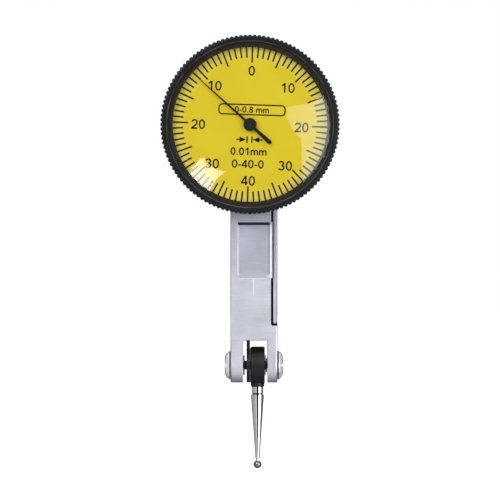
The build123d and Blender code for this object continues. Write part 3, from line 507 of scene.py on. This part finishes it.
def inked_lines(name, lines):
    """Printed lines of even width. lines lists a path (x, z), half the line's width and whether it closes.
    At each point of a path the line's four corners lie half a width to the left and right of it, at the
    dial's face and at the top of the ink; neighbouring points are joined, and open ends are closed."""
    points, faces, count = [], [], 0
    for path, half, closed in lines:
        path = on_dial(np.asarray(path, dtype=float))
        ahead = np.roll(path, -1, 0) - np.roll(path, 1, 0) if closed else np.gradient(path, axis=0)
        ahead /= np.linalg.norm(ahead, axis=1, keepdims=True)
        left = np.stack([-ahead[:, 1], ahead[:, 0]], axis=-1) * half
        rails = np.stack([path + left, path - left, path - left, path + left], axis=1)
        depth = np.array([dial_face + INK / 2, dial_face + INK / 2, dial_face - INK, dial_face - INK])
        depth = np.broadcast_to(depth, rails.shape[:2])
        points.append(np.stack([rails[..., 0], depth, rails[..., 1]], axis=-1).reshape(-1, 3))
        grid = count + np.arange(rails.shape[0] * 4).reshape(-1, 4)
        here, after = (grid, np.roll(grid, -1, 0)) if closed else (grid[:-1], grid[1:])
        walls = np.stack([here, after, np.roll(after, -1, 1), np.roll(here, -1, 1)], axis=-1)
        faces += walls.reshape(-1, 4).tolist()
        if not closed:
            faces += [grid[0].tolist(), grid[-1][::-1].tolist()]
        count += grid.size
    return piece(name, np.concatenate(points), faces, ink, "bezel")


# Sign of the value of a division: two arrows that point at two lines.
SIGN_Z = -3.19 * MM
SIGN_BAR = 0.52 * MM
SIGN_BAR_HALF = 0.15 * MM
SIGN_BAR_HIGH = 0.72 * MM
SIGN_SHAFT = 2.78 * MM
SIGN_HEAD = 2.1 * MM
SIGN_HEAD_HALF = 0.6 * MM
SIGN_LINE_HALF = 0.14 * MM
sign_lines = []
for hand in (-1, 1):
    sign_lines.append(([(hand * SIGN_BAR, SIGN_Z - SIGN_BAR_HIGH), (hand * SIGN_BAR, SIGN_Z + SIGN_BAR_HIGH)],
                       SIGN_BAR_HALF, False))
    sign_lines.append(([(hand * SIGN_SHAFT, SIGN_Z), (hand * SIGN_HEAD, SIGN_Z)], SIGN_LINE_HALF, False))
inked_lines("dial_sign_lines", sign_lines)
head = np.array([(-SIGN_HEAD, -SIGN_HEAD_HALF), (-SIGN_BAR - SIGN_BAR_HALF, 0), (-SIGN_HEAD, SIGN_HEAD_HALF)])
printed("dial_sign_heads", np.stack([head, head[::-1] * (-1, 1)]) + (0, SIGN_Z))

# Rounded frame around the range of the instrument: a thin line along a rectangle with round corners.
FRAME_MIDDLE = np.array([0.32, 3.15]) * MM
FRAME_HALF = np.array([7.0, 1.05]) * MM
FRAME_ROUND = 0.75 * MM
FRAME_LINE_HALF = 0.145 * MM
CORNER_STEPS = 8

# Each corner is a quarter circle around its own centre, one corner after the other.
turn = np.arange(4)[:, None] * np.pi / 2 + np.linspace(0, np.pi / 2, CORNER_STEPS)
centre = np.array([(1, 1), (-1, 1), (-1, -1), (1, -1)]) * (FRAME_HALF - FRAME_ROUND)
corner = centre[:, None, :] + np.stack([np.cos(turn), np.sin(turn)], axis=-1) * FRAME_ROUND
inked_lines("dial_frame", [(FRAME_MIDDLE + corner.reshape(-1, 2), FRAME_LINE_HALF, True)])


def arc(middle_x, middle_z, half_x, half_z, start, end, steps=24):
    """Part of an ellipse from one angle to another, in degrees from +x towards +z."""
    angle = np.radians(np.linspace(start, end, steps))
    return np.stack([middle_x + half_x * np.cos(angle), middle_z + half_z * np.sin(angle)], axis=-1)


def bow(start, pull, end, steps=12):
    """Curve from start to end that is pulled towards a third point."""
    share = np.linspace(0, 1, steps)[:, None]
    start, pull, end = np.array(start), np.array(pull), np.array(end)
    return (1 - share) ** 2 * start + 2 * share * (1 - share) * pull + share ** 2 * end


def stroke(*points):
    """Open straight stroke through some points."""
    return np.array(points, dtype=float), False


# Strokes of the figures, in heights of a figure from its lower left: the advance to the next figure, then
# paths with whether they close.
WIDE, NARROW = 0.78, 0.39
FIGURES = {
    "0": (WIDE, [(arc(0.39, 0.5, 0.262, 0.445, 0, 345), True)]),
    "1": (WIDE, [stroke((0.46, 0.0), (0.46, 1.0)),
                 (bow((0.43, 0.97), (0.34, 0.8), (0.15, 0.725)), False)]),
    "2": (WIDE, [(np.concatenate([arc(0.385, 0.69, 0.252, 0.25, 172, -28),
                                  bow((0.588, 0.53), (0.5, 0.4), (0.11, 0.07))]), False),
                 stroke((0.05, 0.06), (0.7, 0.06))]),
    "3": (WIDE, [(arc(0.37, 0.735, 0.22, 0.205, 165, -85), False),
                 (arc(0.37, 0.285, 0.262, 0.228, 85, -165), False)]),
    "4": (WIDE, [stroke((0.5, 0.95), (0.07, 0.3)), stroke((0.02, 0.275), (0.73, 0.275)),
                 stroke((0.535, 0.0), (0.535, 1.0))]),
    "8": (WIDE, [(arc(0.39, 0.745, 0.205, 0.195, 0, 345), True),
                 (arc(0.39, 0.285, 0.258, 0.228, 0, 345), True)]),
    ".": (NARROW, [stroke((0.195, 0.0), (0.195, 0.13))]),
    "-": (0.47, [stroke((0.06, 0.36), (0.41, 0.36))]),
    "m": (1.16, [stroke((0.155, 0.0), (0.155, 0.72)),
                 (np.concatenate([arc(0.368, 0.45, 0.213, 0.21, 180, 0), [(0.581, 0.0)]]), False),
                 (np.concatenate([arc(0.794, 0.45, 0.213, 0.21, 180, 0), [(1.007, 0.0)]]), False)]),
    " ": (NARROW, []),
}
PEN_HALF = 0.165 * MM                 # half the width of a printed stroke


def lettering(name, words):
    """Printed figures on the dial. words lists text, its middle (x, z), the height of its figures and half
    the width of their strokes."""
    lines = []
    for text, middle, height, pen in words:
        width = sum(FIGURES[letter][0] for letter in text)
        start = np.array([-width / 2, -0.5])
        for letter in text:
            advance, strokes = FIGURES[letter]
            lines += [(np.array(middle) + (start + path) * height, pen, closed) for path, closed in strokes]
            start = start + (advance, 0)
    return inked_lines(name, lines)


NUMBER_HEIGHT = 2.0 * MM
NUMBER_REACH = np.array([10.95, 11.65]) * MM
NUMBER_SHIFT = np.array([0.0, -0.24]) * MM
NUMBERS = 8
NUMBER_STEP = 10                      # the scale counts up by this much on both sides
numbers = []
for step in range(NUMBERS):
    value = min(step, NUMBERS - step) * NUMBER_STEP
    turn = 2 * math.pi * step / NUMBERS
    middle = NUMBER_SHIFT + NUMBER_REACH * (math.sin(turn), math.cos(turn))
    numbers.append((str(value), middle, NUMBER_HEIGHT, PEN_HALF))
lettering("dial_numbers", numbers)
UNIT_MIDDLE, UNIT_HEIGHT = np.array([-0.1, -5.7]) * MM, 1.55 * MM
COUNT_MIDDLE, COUNT_HEIGHT = np.array([-0.2, -8.35]) * MM, 1.7 * MM
RANGE_HEIGHT = 1.25 * MM
lettering("dial_marks", [("0.01mm", UNIT_MIDDLE, UNIT_HEIGHT, 0.9 * PEN_HALF),
                         ("0-40-0", COUNT_MIDDLE, COUNT_HEIGHT, 0.9 * PEN_HALF),
                         ("0-0.8 mm", FRAME_MIDDLE, RANGE_HEIGHT, 0.75 * PEN_HALF)])

# Pointer: thin steel needle with a rounded counterweight, on a turned hub with a centre hole.
# Both are lacquered black, and the hub is pressed on the centre arbor.
LACQUER_RELIEF = 0.001 * MM


def black_lacquer():
    """Thin black lacquer: satin, with fine dust in it."""
    material, place, feed = new_finish("black_lacquer", Specular_IOR_Level=0.3)
    dust = place.noise(5000, 3.0)
    feed("Base Color", dust.between(0.35, 0.7).tint(paint(10, 10, 11), paint(20, 20, 22)))
    feed("Roughness", 0.3 + 0.15 * dust)
    feed("Normal", dust.bump(LACQUER_RELIEF))
    return material


lacquer = black_lacquer()
dress(lacquer, "pointer")
EASE_STEPS = 5
EASE_HOLD = 1.25


def eased(corners, ease, steps=EASE_STEPS):
    """Closed outline with every corner eased: a parabola that leaves each side at its own distance from the
    corner, worked out for all corners at once. A point a little further along each side holds the flat."""
    corners = np.array(corners, dtype=float)
    ease = np.array(ease, dtype=float)[:, None]
    before = np.roll(corners, 1, 0) - corners
    after = np.roll(corners, -1, 0) - corners
    before = before / np.linalg.norm(before, axis=1, keepdims=True) * ease
    after = after / np.linalg.norm(after, axis=1, keepdims=True) * ease
    share = np.linspace(0, 1, steps)[None, :, None]
    curve = corners[:, None] + (1 - share) ** 2 * before[:, None] + share ** 2 * after[:, None]
    first = corners + EASE_HOLD * before
    last = corners + EASE_HOLD * after
    return np.concatenate([first[:, None], curve, last[:, None]], axis=1).reshape(-1, 2)


def ring_faces(rows, columns):
    """Four-sided faces of a grid that closes on itself both ways."""
    grid = np.arange(rows * columns).reshape(rows, columns)
    down, right = np.roll(grid, -1, 0), np.roll(grid, -1, 1)
    return np.stack([grid, down, np.roll(down, -1, 1), right], axis=-1).reshape(-1, 4).tolist()


def round_axis(radius, depth, around):
    """Points of a surface turned about the dial axis: a radius and a depth for each angle."""
    radius = np.broadcast_to(radius, np.broadcast_shapes(radius.shape, around.shape))
    depth = np.broadcast_to(depth, radius.shape)
    return np.stack([radius * np.cos(around), depth, radius * np.sin(around)], axis=-1)


def full_turn(steps):
    """Angles of equal steps around a circle."""
    return np.arange(steps) * 2 * np.pi / steps


hub_low, hub_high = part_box("pointer_hub")
needle_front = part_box("pointer")[0].y
HUB_TUBE = 0.7 * MM
HUB_BORE = 0.12 * MM
HUB_STEP_RADIUS = 0.85 * MM
HUB_STEP = 0.14 * MM
HUB_STEPS = 64
HUB_EASE = np.array([0.05, 0.06, 0.03, 0.12, 0.04, 0.02, 0.03, 0.03]) * MM
TURNED_CREASE = math.radians(40)      # turned pieces are smooth up to this angle between faces
hub_step_back = hub_low.y + HUB_STEP
hub_outline = eased([(HUB_BORE, hub_low.y), (HUB_STEP_RADIUS, hub_low.y), (HUB_STEP_RADIUS, hub_step_back),
                     (hub_high.x, hub_step_back), (hub_high.x, needle_front), (HUB_TUBE, needle_front),
                     (HUB_TUBE, hub_high.y), (HUB_BORE, hub_high.y)], HUB_EASE)
hub_points = round_axis(hub_outline[:, :1], hub_outline[:, 1:], full_turn(HUB_STEPS)[None, :])
hub = piece("turned_hub", hub_points, ring_faces(*hub_points.shape[:2]), lacquer, "pointer",
            TURNED_CREASE)
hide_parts("pointer_hub")

# Gap shade ring: thin blackened ring between the lever plate and the drum, put in the running gap as a
# painted shade.
# It fills the gap between the two, so no light passes there.
shaft_low, shaft_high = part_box("pivot_shaft")
plate_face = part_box("lever_arm")[1].x
drum_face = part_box("stylus_holder")[0].x
FACING_GAP = 0.006 * MM
FACING_RADIUS = 3.62 * MM
FACING_BORE_GAP = 0.05 * MM
FACING_STEPS = 96
shaft_middle = (shaft_low + shaft_high) / 2
facing_bore = (shaft_high.z - shaft_low.z) / 2 + FACING_BORE_GAP
facing_outline = np.array([(facing_bore, plate_face + FACING_GAP), (FACING_RADIUS, plate_face + FACING_GAP),
                           (FACING_RADIUS, drum_face - FACING_GAP), (facing_bore, drum_face - FACING_GAP)])

# The ring is turned about the dial axis first. Then its axes change places, so that its depth runs along x.
facing_points = round_axis(facing_outline[:, :1], facing_outline[:, 1:], full_turn(FACING_STEPS)[None, :])
facing_points = np.roll(facing_points, -1, axis=-1) + (0, shaft_middle.y, shaft_middle.z)
# a blackened ring put in the gap as a painted shade
piece("gap_shade_ring", facing_points, ring_faces(*facing_points.shape[:2]), blackened, "lever",
      TURNED_CREASE)

# Bezel: black-anodised aluminium ring that holds the crystal and the dial and is turned by hand.
# Its rim has a straight knurl with rounded teeth, with painted highlights on the tips.
bezel_low, bezel_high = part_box("bezel")
crystal_low, crystal_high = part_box("crystal")
KNURL_TEETH = 120
KNURL_DEPTH = 0.45 * MM
KNURL_FILL = 0.2                      # the rounded roots fill this share of the depth
KNURL_STEPS = 10                      # points around one tooth
KNURL_STATIONS = 14                   # points along the band
KNURL_END = 0.55 * MM                 # over this length the teeth round off at each end
BEZEL_EDGE = 0.3 * MM
LEDGE = 1.16 * MM
LIP_HIGHLIGHT = 0.16 * MM                  # width of the painted highlight around the crystal
TIP_HIGHLIGHT = 0.16 * MM                  # height of the painted highlight on the tips of the teeth
REFLECTION_FADE = 0.1 * MM                  # the ledge below the crystal has a painted warm reflection of the dial
SEAT = 0.02 * MM
BAND_INSET = 0.45 * MM
RIM_EASE = np.array([0.14, 0.3, 0.3, 0.1, 0.05, 0.1, 0.15, 0.05]) * MM
bezel_front, bezel_back = bezel_low.y, bezel_high.y
bezel_root = bezel_high.z - KNURL_DEPTH
bezel_bore = crystal_high.z + 3 * SEAT
window = crystal_high.z - LEDGE
ledge_front = crystal_high.y + SEAT


def black_anodised():
    """Anodised aluminium: deep blue-black satin with a fine grain, painted highlights in grey on the tips of
    the teeth and the lip, and a painted warm reflection of the dial on the ledge.
    """
    material, place, feed = new_finish("black_anodised", Specular_IOR_Level=0.22)
    grain = place.noise(7000, 3.0)
    clouds = place.noise(300, 2.0)
    depth = place.split()[1]
    reach = place.from_axis()
    # painted highlights on the tips of the teeth and along the lip
    tips = reach.between(bezel_high.z - TIP_HIGHLIGHT, bezel_high.z) * place.noise(1500, 3.0).between(0.4, 0.65)
    lip = (reach.within(crystal_high.z + SEAT, crystal_high.z + LIP_HIGHLIGHT)
           * (1 - depth.between(bezel_front + LIP_HIGHLIGHT, bezel_front + 2 * LIP_HIGHLIGHT)))
    tip_and_lip_highlight = tips.larger(lip * clouds.between(0.3, 0.7))
    # painted warm reflection of the dial on the ledge
    dial_reflection = 1 - reach.between(crystal_high.z - REFLECTION_FADE, crystal_high.z)
    face = (0.5 * grain + 0.5 * clouds).between(0.3, 0.7).tint(paint(10, 11, 14), paint(19, 20, 25))
    face = dial_reflection.tint(face, paint(42, 36, 24))
    feed("Base Color", tip_and_lip_highlight.tint(face, paint(92, 91, 90)))
    feed("Roughness", 0.32 + 0.14 * grain)
    feed("Normal", grain.bump(GRAIN_RELIEF))
    return material


# The outline (radius, depth) is carried round the axis. Between the two ends of the knurl a rounded tooth is
# added to the radius: the root of a raised cosine, lifted at its foot and let down to nothing at each end.
rim = eased([(crystal_high.z + SEAT, bezel_front), (bezel_root, bezel_front), (bezel_root, bezel_back),
             (bezel_bore, bezel_back), (bezel_bore, dial_face), (window, dial_face),
             (window, ledge_front), (crystal_high.z + SEAT, ledge_front)], RIM_EASE)
band_depth = np.linspace(bezel_front + BAND_INSET, bezel_back - BAND_INSET, KNURL_STATIONS)
band = np.stack([np.full(KNURL_STATIONS, bezel_root), band_depth], axis=-1)
second_end = 2 * (EASE_STEPS + 2)     # the band comes after the first two corners of the outline
outline = np.concatenate([rim[:second_end], band, rim[second_end:]])
around = full_turn(KNURL_TEETH * KNURL_STEPS)
tooth = KNURL_FILL + (1 - KNURL_FILL) * np.sqrt(np.clip(0.5 + 0.5 * np.cos(KNURL_TEETH * around), 0, 1))
from_end = np.minimum(outline[:, 1] - bezel_front, bezel_back - outline[:, 1])
rise = np.sqrt(1 - (1 - np.clip(from_end / KNURL_END, 0, 1)) ** 2)
on_band = (outline[:, 0] > bezel_root - BEZEL_EDGE) * rise
radius = outline[:, :1] + KNURL_DEPTH * on_band[:, None] * tooth[None, :]
bezel_points = round_axis(radius, outline[:, 1:], around[None, :])
bezel_ring = piece("knurled_bezel", bezel_points, ring_faces(*radius.shape), black_anodised(), "bezel",
                   TURNED_CREASE)
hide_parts("bezel")

# Crystal: domed clear acrylic disc, pressed into the bezel against its ledge.
# It is turned and polished, with a narrow chamfer around its front edge that catches the light.
CRYSTAL_EDGE = 0.9 * MM               # thickness at its edge and over its middle
CRYSTAL_CHAMFER = 0.14 * MM
CRYSTAL_RINGS = 28
CRYSTAL_STEPS = 160
CRYSTAL_IOR = 1.6
CRYSTAL_CREASE = math.radians(30)
crystal_rim = crystal_high.z
crystal_edge_front = crystal_high.y - CRYSTAL_EDGE
crystal_rise = crystal_edge_front - crystal_low.y


def clear_acrylic():
    """Clear acrylic: passes light straight through and mirrors a share that follows the angle of view."""
    material = bpy.data.materials.new("clear_acrylic")
    material.use_nodes = True
    tree = material.node_tree
    tree.nodes.remove(tree.nodes["Principled BSDF"])
    place = Field(tree, tree.nodes.new("ShaderNodeTexCoord").outputs["Object"])
    haze = 0.015 + 0.03 * place.noise(900, 3.0)
    inside = place.node("NewGeometry", output="Backfacing")
    mirror = place.node("Fresnel", {}, {"IOR": CRYSTAL_IOR}) * (1 - inside)
    clear = place.node("BsdfTransparent")
    gloss = place.node("BsdfGlossy", {}, {"Roughness": haze})
    both = place.node("MixShader", {}, {0: mirror, 1: clear, 2: gloss})
    tree.links.new(both.socket, tree.nodes["Material Output"].inputs["Surface"])
    return material


def sphere_radius(rim, rise):
    """Radius of the sphere through a rim and an apex that stands a rise before it."""
    return (rim ** 2 + rise ** 2) / (2 * rise)


def dome(radius, rim, back, rise):
    """Depth of a shallow dome at each radius: a sphere through the rim at depth back and its apex."""
    sphere = sphere_radius(rim, rise)
    return back - rise + sphere - np.sqrt(sphere ** 2 - radius ** 2)


def turned_faces(rows, columns):
    """Faces of a turned solid: a pole, rows of points around the axis, and a second pole."""
    grid = 1 + np.arange(rows * columns).reshape(rows, columns)
    here, after = grid[:-1], grid[1:]
    walls = np.stack([here, after, np.roll(after, -1, 1), np.roll(here, -1, 1)], axis=-1).reshape(-1, 4)
    first = np.stack([np.zeros(columns, dtype=int), grid[0], np.roll(grid[0], -1)], axis=-1)
    last = np.stack([np.full(columns, grid.max() + 1), np.roll(grid[-1], -1), grid[-1]], axis=-1)
    return first.tolist() + walls.tolist() + last.tolist()


# Outline from the apex over the outer dome, the chamfer, the side and the seat to the inner dome's middle.
outer_reach = np.linspace(0, crystal_rim - CRYSTAL_CHAMFER, CRYSTAL_RINGS + 1)[1:]
inner_reach = np.linspace(window, 0, CRYSTAL_RINGS + 1)[:-1]
outer_depth = dome(outer_reach, crystal_rim, crystal_edge_front, crystal_rise)
inner_depth = dome(inner_reach, window, crystal_high.y, crystal_rise)
lens_side = [(crystal_rim, crystal_edge_front + CRYSTAL_CHAMFER), (crystal_rim, crystal_high.y)]
lens = np.concatenate([np.stack([outer_reach, outer_depth], axis=-1), lens_side,
                       np.stack([inner_reach, inner_depth], axis=-1)])
lens_points = round_axis(lens[:, :1], lens[:, 1:], full_turn(CRYSTAL_STEPS)[None, :]).reshape(-1, 3)
apex = [(0, crystal_low.y, 0)]
inner_apex = [(0, crystal_high.y - crystal_rise, 0)]
crystal = piece("domed_crystal", np.concatenate([apex, lens_points, inner_apex]),
                turned_faces(len(lens), CRYSTAL_STEPS), clear_acrylic(), "bezel",
                CRYSTAL_CREASE)
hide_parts("crystal")

# Studio: white surroundings, a pale floor below the instrument, two soft lamps, two window cards that only
# reflections see, and a long lens square to the dial. Metal and glass mirror a white room that is dark around
# the camera, has grey and dark walls to the left and right and a dark ring behind, and is dimmer below.
FLOOR_Z = -95 * MM
CAMERA_DISTANCE = 1.0
PIXEL = 0.2111 * MM
PICTURE = 500
DIAL_PIXEL = np.array([250.0, 124.25])
SENSOR = 36.0
DIFFUSE_WORLD = 0.57                  # level of the world where it lights matt surfaces
BLACK, WHITE = (0, 0, 0, 1), (1, 1, 1, 1)
camera_place = (0, bezel_low.y - CAMERA_DISTANCE, (DIAL_PIXEL[1] - PICTURE / 2) * PIXEL)

world = bpy.data.worlds.new("studio")
bpy.context.scene.world = world
world.use_nodes = True
sky = world.node_tree


def rays(tree, *kinds):
    """1 for rays of these kinds and 0 for others."""
    path = tree.nodes.new("ShaderNodeLightPath")
    total = Field(tree, path.outputs[kinds[0]])
    for kind in kinds[1:]:
        total = total.larger(Field(tree, path.outputs[kind]))
    return total


# Walls of the mirrored room: where each starts and ends and how soft it ends, in degrees to the right of the
# camera's side, and the share of the light that it takes away.
ROOM_WALLS = [(-126, -36, 6, 0.58), (-166, -130, 5, 0.85), (80, 120, 6, 0.85), (126, 170, 5, 0.5)]
CAMERA_SIDE = (18, 21)                # degrees from the lens, up to which the room is dark
BACK_RING, BACK_SOFT, BACK_TAKES = (122, 146), 8, 0.85
WALL_TOPS = (30, 50)                  # degrees above the horizon, between which the walls end
ROOM_FLOOR, ROOM_FLOOR_TAKES = (-48, -26), 0.4
ROOM_DARK = 0.015                     # level of the dark around the lens


def mirrored_room(towards):
    """Brightness of the room in a direction, as reflections see it. The turn is the angle around the vertical
    from the camera's side, positive to the right, and the climb is the angle above the horizon."""
    x, y, z = towards.split()
    turn = towards.math("ARCTAN2", x, -1 * y)
    climb = towards.math("ARCSINE", z)
    angle = towards.math("ARCCOSINE", -1 * y)
    walls = 1 - BACK_TAKES * angle.within(*np.radians(BACK_RING).tolist(), math.radians(BACK_SOFT))
    for start, end, soft, takes in ROOM_WALLS:
        walls = walls * (1 - takes * turn.within(math.radians(start), math.radians(end), math.radians(soft)))
    upright = 1 - climb.between(*np.radians(WALL_TOPS).tolist())
    below = 1 - climb.between(*np.radians(ROOM_FLOOR).tolist())
    level = (1 - upright * (1 - walls)) * (1 - ROOM_FLOOR_TAKES * below)
    off_camera = angle.between(*np.radians(CAMERA_SIDE).tolist())
    return ROOM_DARK + (1 - ROOM_DARK) * off_camera * level


towards = Field(sky, sky.nodes.new("ShaderNodeTexCoord").outputs["Generated"])
seen = rays(sky, "Is Camera Ray", "Is Transmission Ray")
mirrored = rays(sky, "Is Glossy Ray") * (1 - seen)
level = seen + mirrored * mirrored_room(towards) + DIFFUSE_WORLD * ((1 - seen) * (1 - mirrored))
sky.links.new(level.tint(BLACK, WHITE).socket, sky.nodes["Background"].inputs["Color"])


def stage_sheet(name, corners, material, **shown):
    """Flat sheet of the studio, given by its corners, with what kinds of ray see it."""
    mesh = bpy.data.meshes.new(name)
    mesh.from_pydata(corners, [], [tuple(range(len(corners)))])
    mesh.materials.append(material)
    sheet = bpy.data.objects.new(name, mesh)
    bpy.context.scene.collection.objects.link(sheet)
    for ray, visible in shown.items():
        setattr(sheet, "visible_" + ray, visible)
    return sheet


FLOOR_HALF = 4.0
FLOOR_LIFT = (0.1, 0.3)               # distances from the dial between which the floor turns white


def floor_paint():
    """White matt floor that keeps the shadow below the instrument and is lifted to white further off."""
    material, place, feed = new_finish("studio_floor", Base_Color=(0.9, 0.9, 0.9, 1), Roughness=0.9,
                                       Emission_Strength=1.0)
    shown = rays(material.node_tree, "Is Camera Ray", "Is Glossy Ray", "Is Transmission Ray")
    reach = place.node("VectorMath", {"operation": "LENGTH"}, {0: place}, output="Value")
    lift = shown * (0.1 + 0.6 * reach.between(*FLOOR_LIFT))
    feed("Emission Color", lift.tint(BLACK, WHITE))
    return material


floor_corners = [(side_x * FLOOR_HALF, side_y * FLOOR_HALF, FLOOR_Z)
                 for side_x, side_y in ((-1, -1), (1, -1), (1, 1), (-1, 1))]
stage_sheet("floor", floor_corners, floor_paint(), glossy=False)

# Window cards: glowing sheets that only reflections see.
# They are placed by the pixels of the picture where the crystal mirrors them.
CARD_Y = -0.16
LEFT_PIXELS = [(188.8, 173.1), (200.5, 158.5), (203.5, 157.5), (206.5, 164.5), (214, 168.5), (225, 171.5),
               (216, 180), (209, 190.9), (201.8, 186), (194.9, 179.9)]
LEFT_STRENGTH = 12.0
LEFT_FAR, LEFT_NEAR = (0.4, 0.44, 0.5, 1), (0.9, 0.95, 1.05, 1)
LEFT_FADE = (-0.7, -0.7, 0.032, 0.047)
RIGHT_PIXELS = [(288, 107), (310, 103), (323.5, 95), (327.6, 107), (329.8, 124), (328.5, 141), (323.7, 155),
                (316, 168.5), (303, 183), (302, 160), (301, 140), (297, 134), (291, 127), (286, 115)]
RIGHT_STRENGTH = 4.2
RIGHT_FAR, RIGHT_NEAR = (0.42, 0.47, 0.5, 1), (0.84, 0.94, 1.0, 1)
RIGHT_FADE = (1.0, 0.0, 0.022, 0.05)


def card_corners(picture):
    """Corners of a card from pixels: the ray from the camera to the dome is turned back by the dome's normal
    there, ray - 2 (ray . normal) normal, and carried on to the depth of the card."""
    flat = (np.array(picture, dtype=float) - DIAL_PIXEL) * (PIXEL, -PIXEL)
    depth = dome(np.linalg.norm(flat, axis=1), crystal_rim, crystal_edge_front, crystal_rise)
    on_dome = np.stack([flat[:, 0], depth, flat[:, 1]], axis=-1)
    sphere = sphere_radius(crystal_rim, crystal_rise)
    normal = (on_dome - (0, crystal_low.y + sphere, 0)) / sphere
    ray = on_dome - camera_place
    back = ray - 2 * np.sum(ray * normal, axis=1, keepdims=True) * normal
    return (on_dome + back * ((CARD_Y - depth) / back[:, 1])[:, None]).tolist()


def window_card(name, picture, strength, far, near, fade):
    """Glowing card. Its colour goes from far to near along a direction (x, z), between two distances from the
    dial axis; fade holds the direction and the distances."""
    material = bpy.data.materials.new(name)
    material.use_nodes = True
    tree = material.node_tree
    tree.nodes.remove(tree.nodes["Principled BSDF"])
    place = Field(tree, tree.nodes.new("ShaderNodeTexCoord").outputs["Object"])
    x, y, z = place.split()
    fade_x, fade_z, fade_start, fade_end = fade
    glow = (fade_x * x + fade_z * z).between(fade_start, fade_end)
    light = place.node("Emission", {}, {"Color": glow.tint(far, near), "Strength": strength})
    tree.links.new(light.socket, tree.nodes["Material Output"].inputs["Surface"])
    return stage_sheet(name, card_corners(picture), material, camera=False, diffuse=False, shadow=False,
                       transmission=False)


window_card("window_card_left", LEFT_PIXELS, LEFT_STRENGTH, LEFT_FAR, LEFT_NEAR, LEFT_FADE)
window_card("window_card_right", RIGHT_PIXELS, RIGHT_STRENGTH, RIGHT_FAR, RIGHT_NEAR, RIGHT_FADE)

# Lamps and camera: a square key lamp from the upper left and a larger, weaker fill lamp from the right.
# The lens is long, and shows the front of the bezel at one pixel of the picture to each PIXEL of its size.
AIM = (0.0, -0.01, -0.027)
KEY_PLACE, KEY_SIZE, KEY_WATTS = (-0.5, -1.0, 0.55), 0.45, 5.4
FILL_PLACE, FILL_SIZE, FILL_WATTS = (0.75, -0.85, -0.02), 0.6, 4.4


def soft_lamp(name, place, aim, size, watts):
    """Square lamp at a place, turned to its aim."""
    lamp = bpy.data.lights.new(name, "AREA")
    lamp.shape = "SQUARE"
    lamp.size = size
    lamp.energy = watts
    made = bpy.data.objects.new(name, lamp)
    bpy.context.scene.collection.objects.link(made)
    facing = (Vector(aim) - Vector(place)).to_track_quat("-Z", "Y").to_matrix().to_4x4()
    made.matrix_world = Matrix.Translation(place) @ facing
    made.visible_camera = False
    return made


soft_lamp("key_softbox", KEY_PLACE, AIM, KEY_SIZE, KEY_WATTS)
soft_lamp("fill_softbox", FILL_PLACE, AIM, FILL_SIZE, FILL_WATTS)

camera = bpy.data.cameras.new("camera")
camera.sensor_width = SENSOR
camera.lens = SENSOR * CAMERA_DISTANCE / (PICTURE * PIXEL)
camera.clip_start = 0.05
camera.clip_end = 20
viewer = bpy.data.objects.new("camera", camera)
bpy.context.scene.collection.objects.link(viewer)
viewer.location = camera_place
viewer.rotation_euler = (math.pi / 2, 0, 0)
bpy.context.scene.camera = viewer
bpy.context.scene.view_settings.view_transform = "Standard"
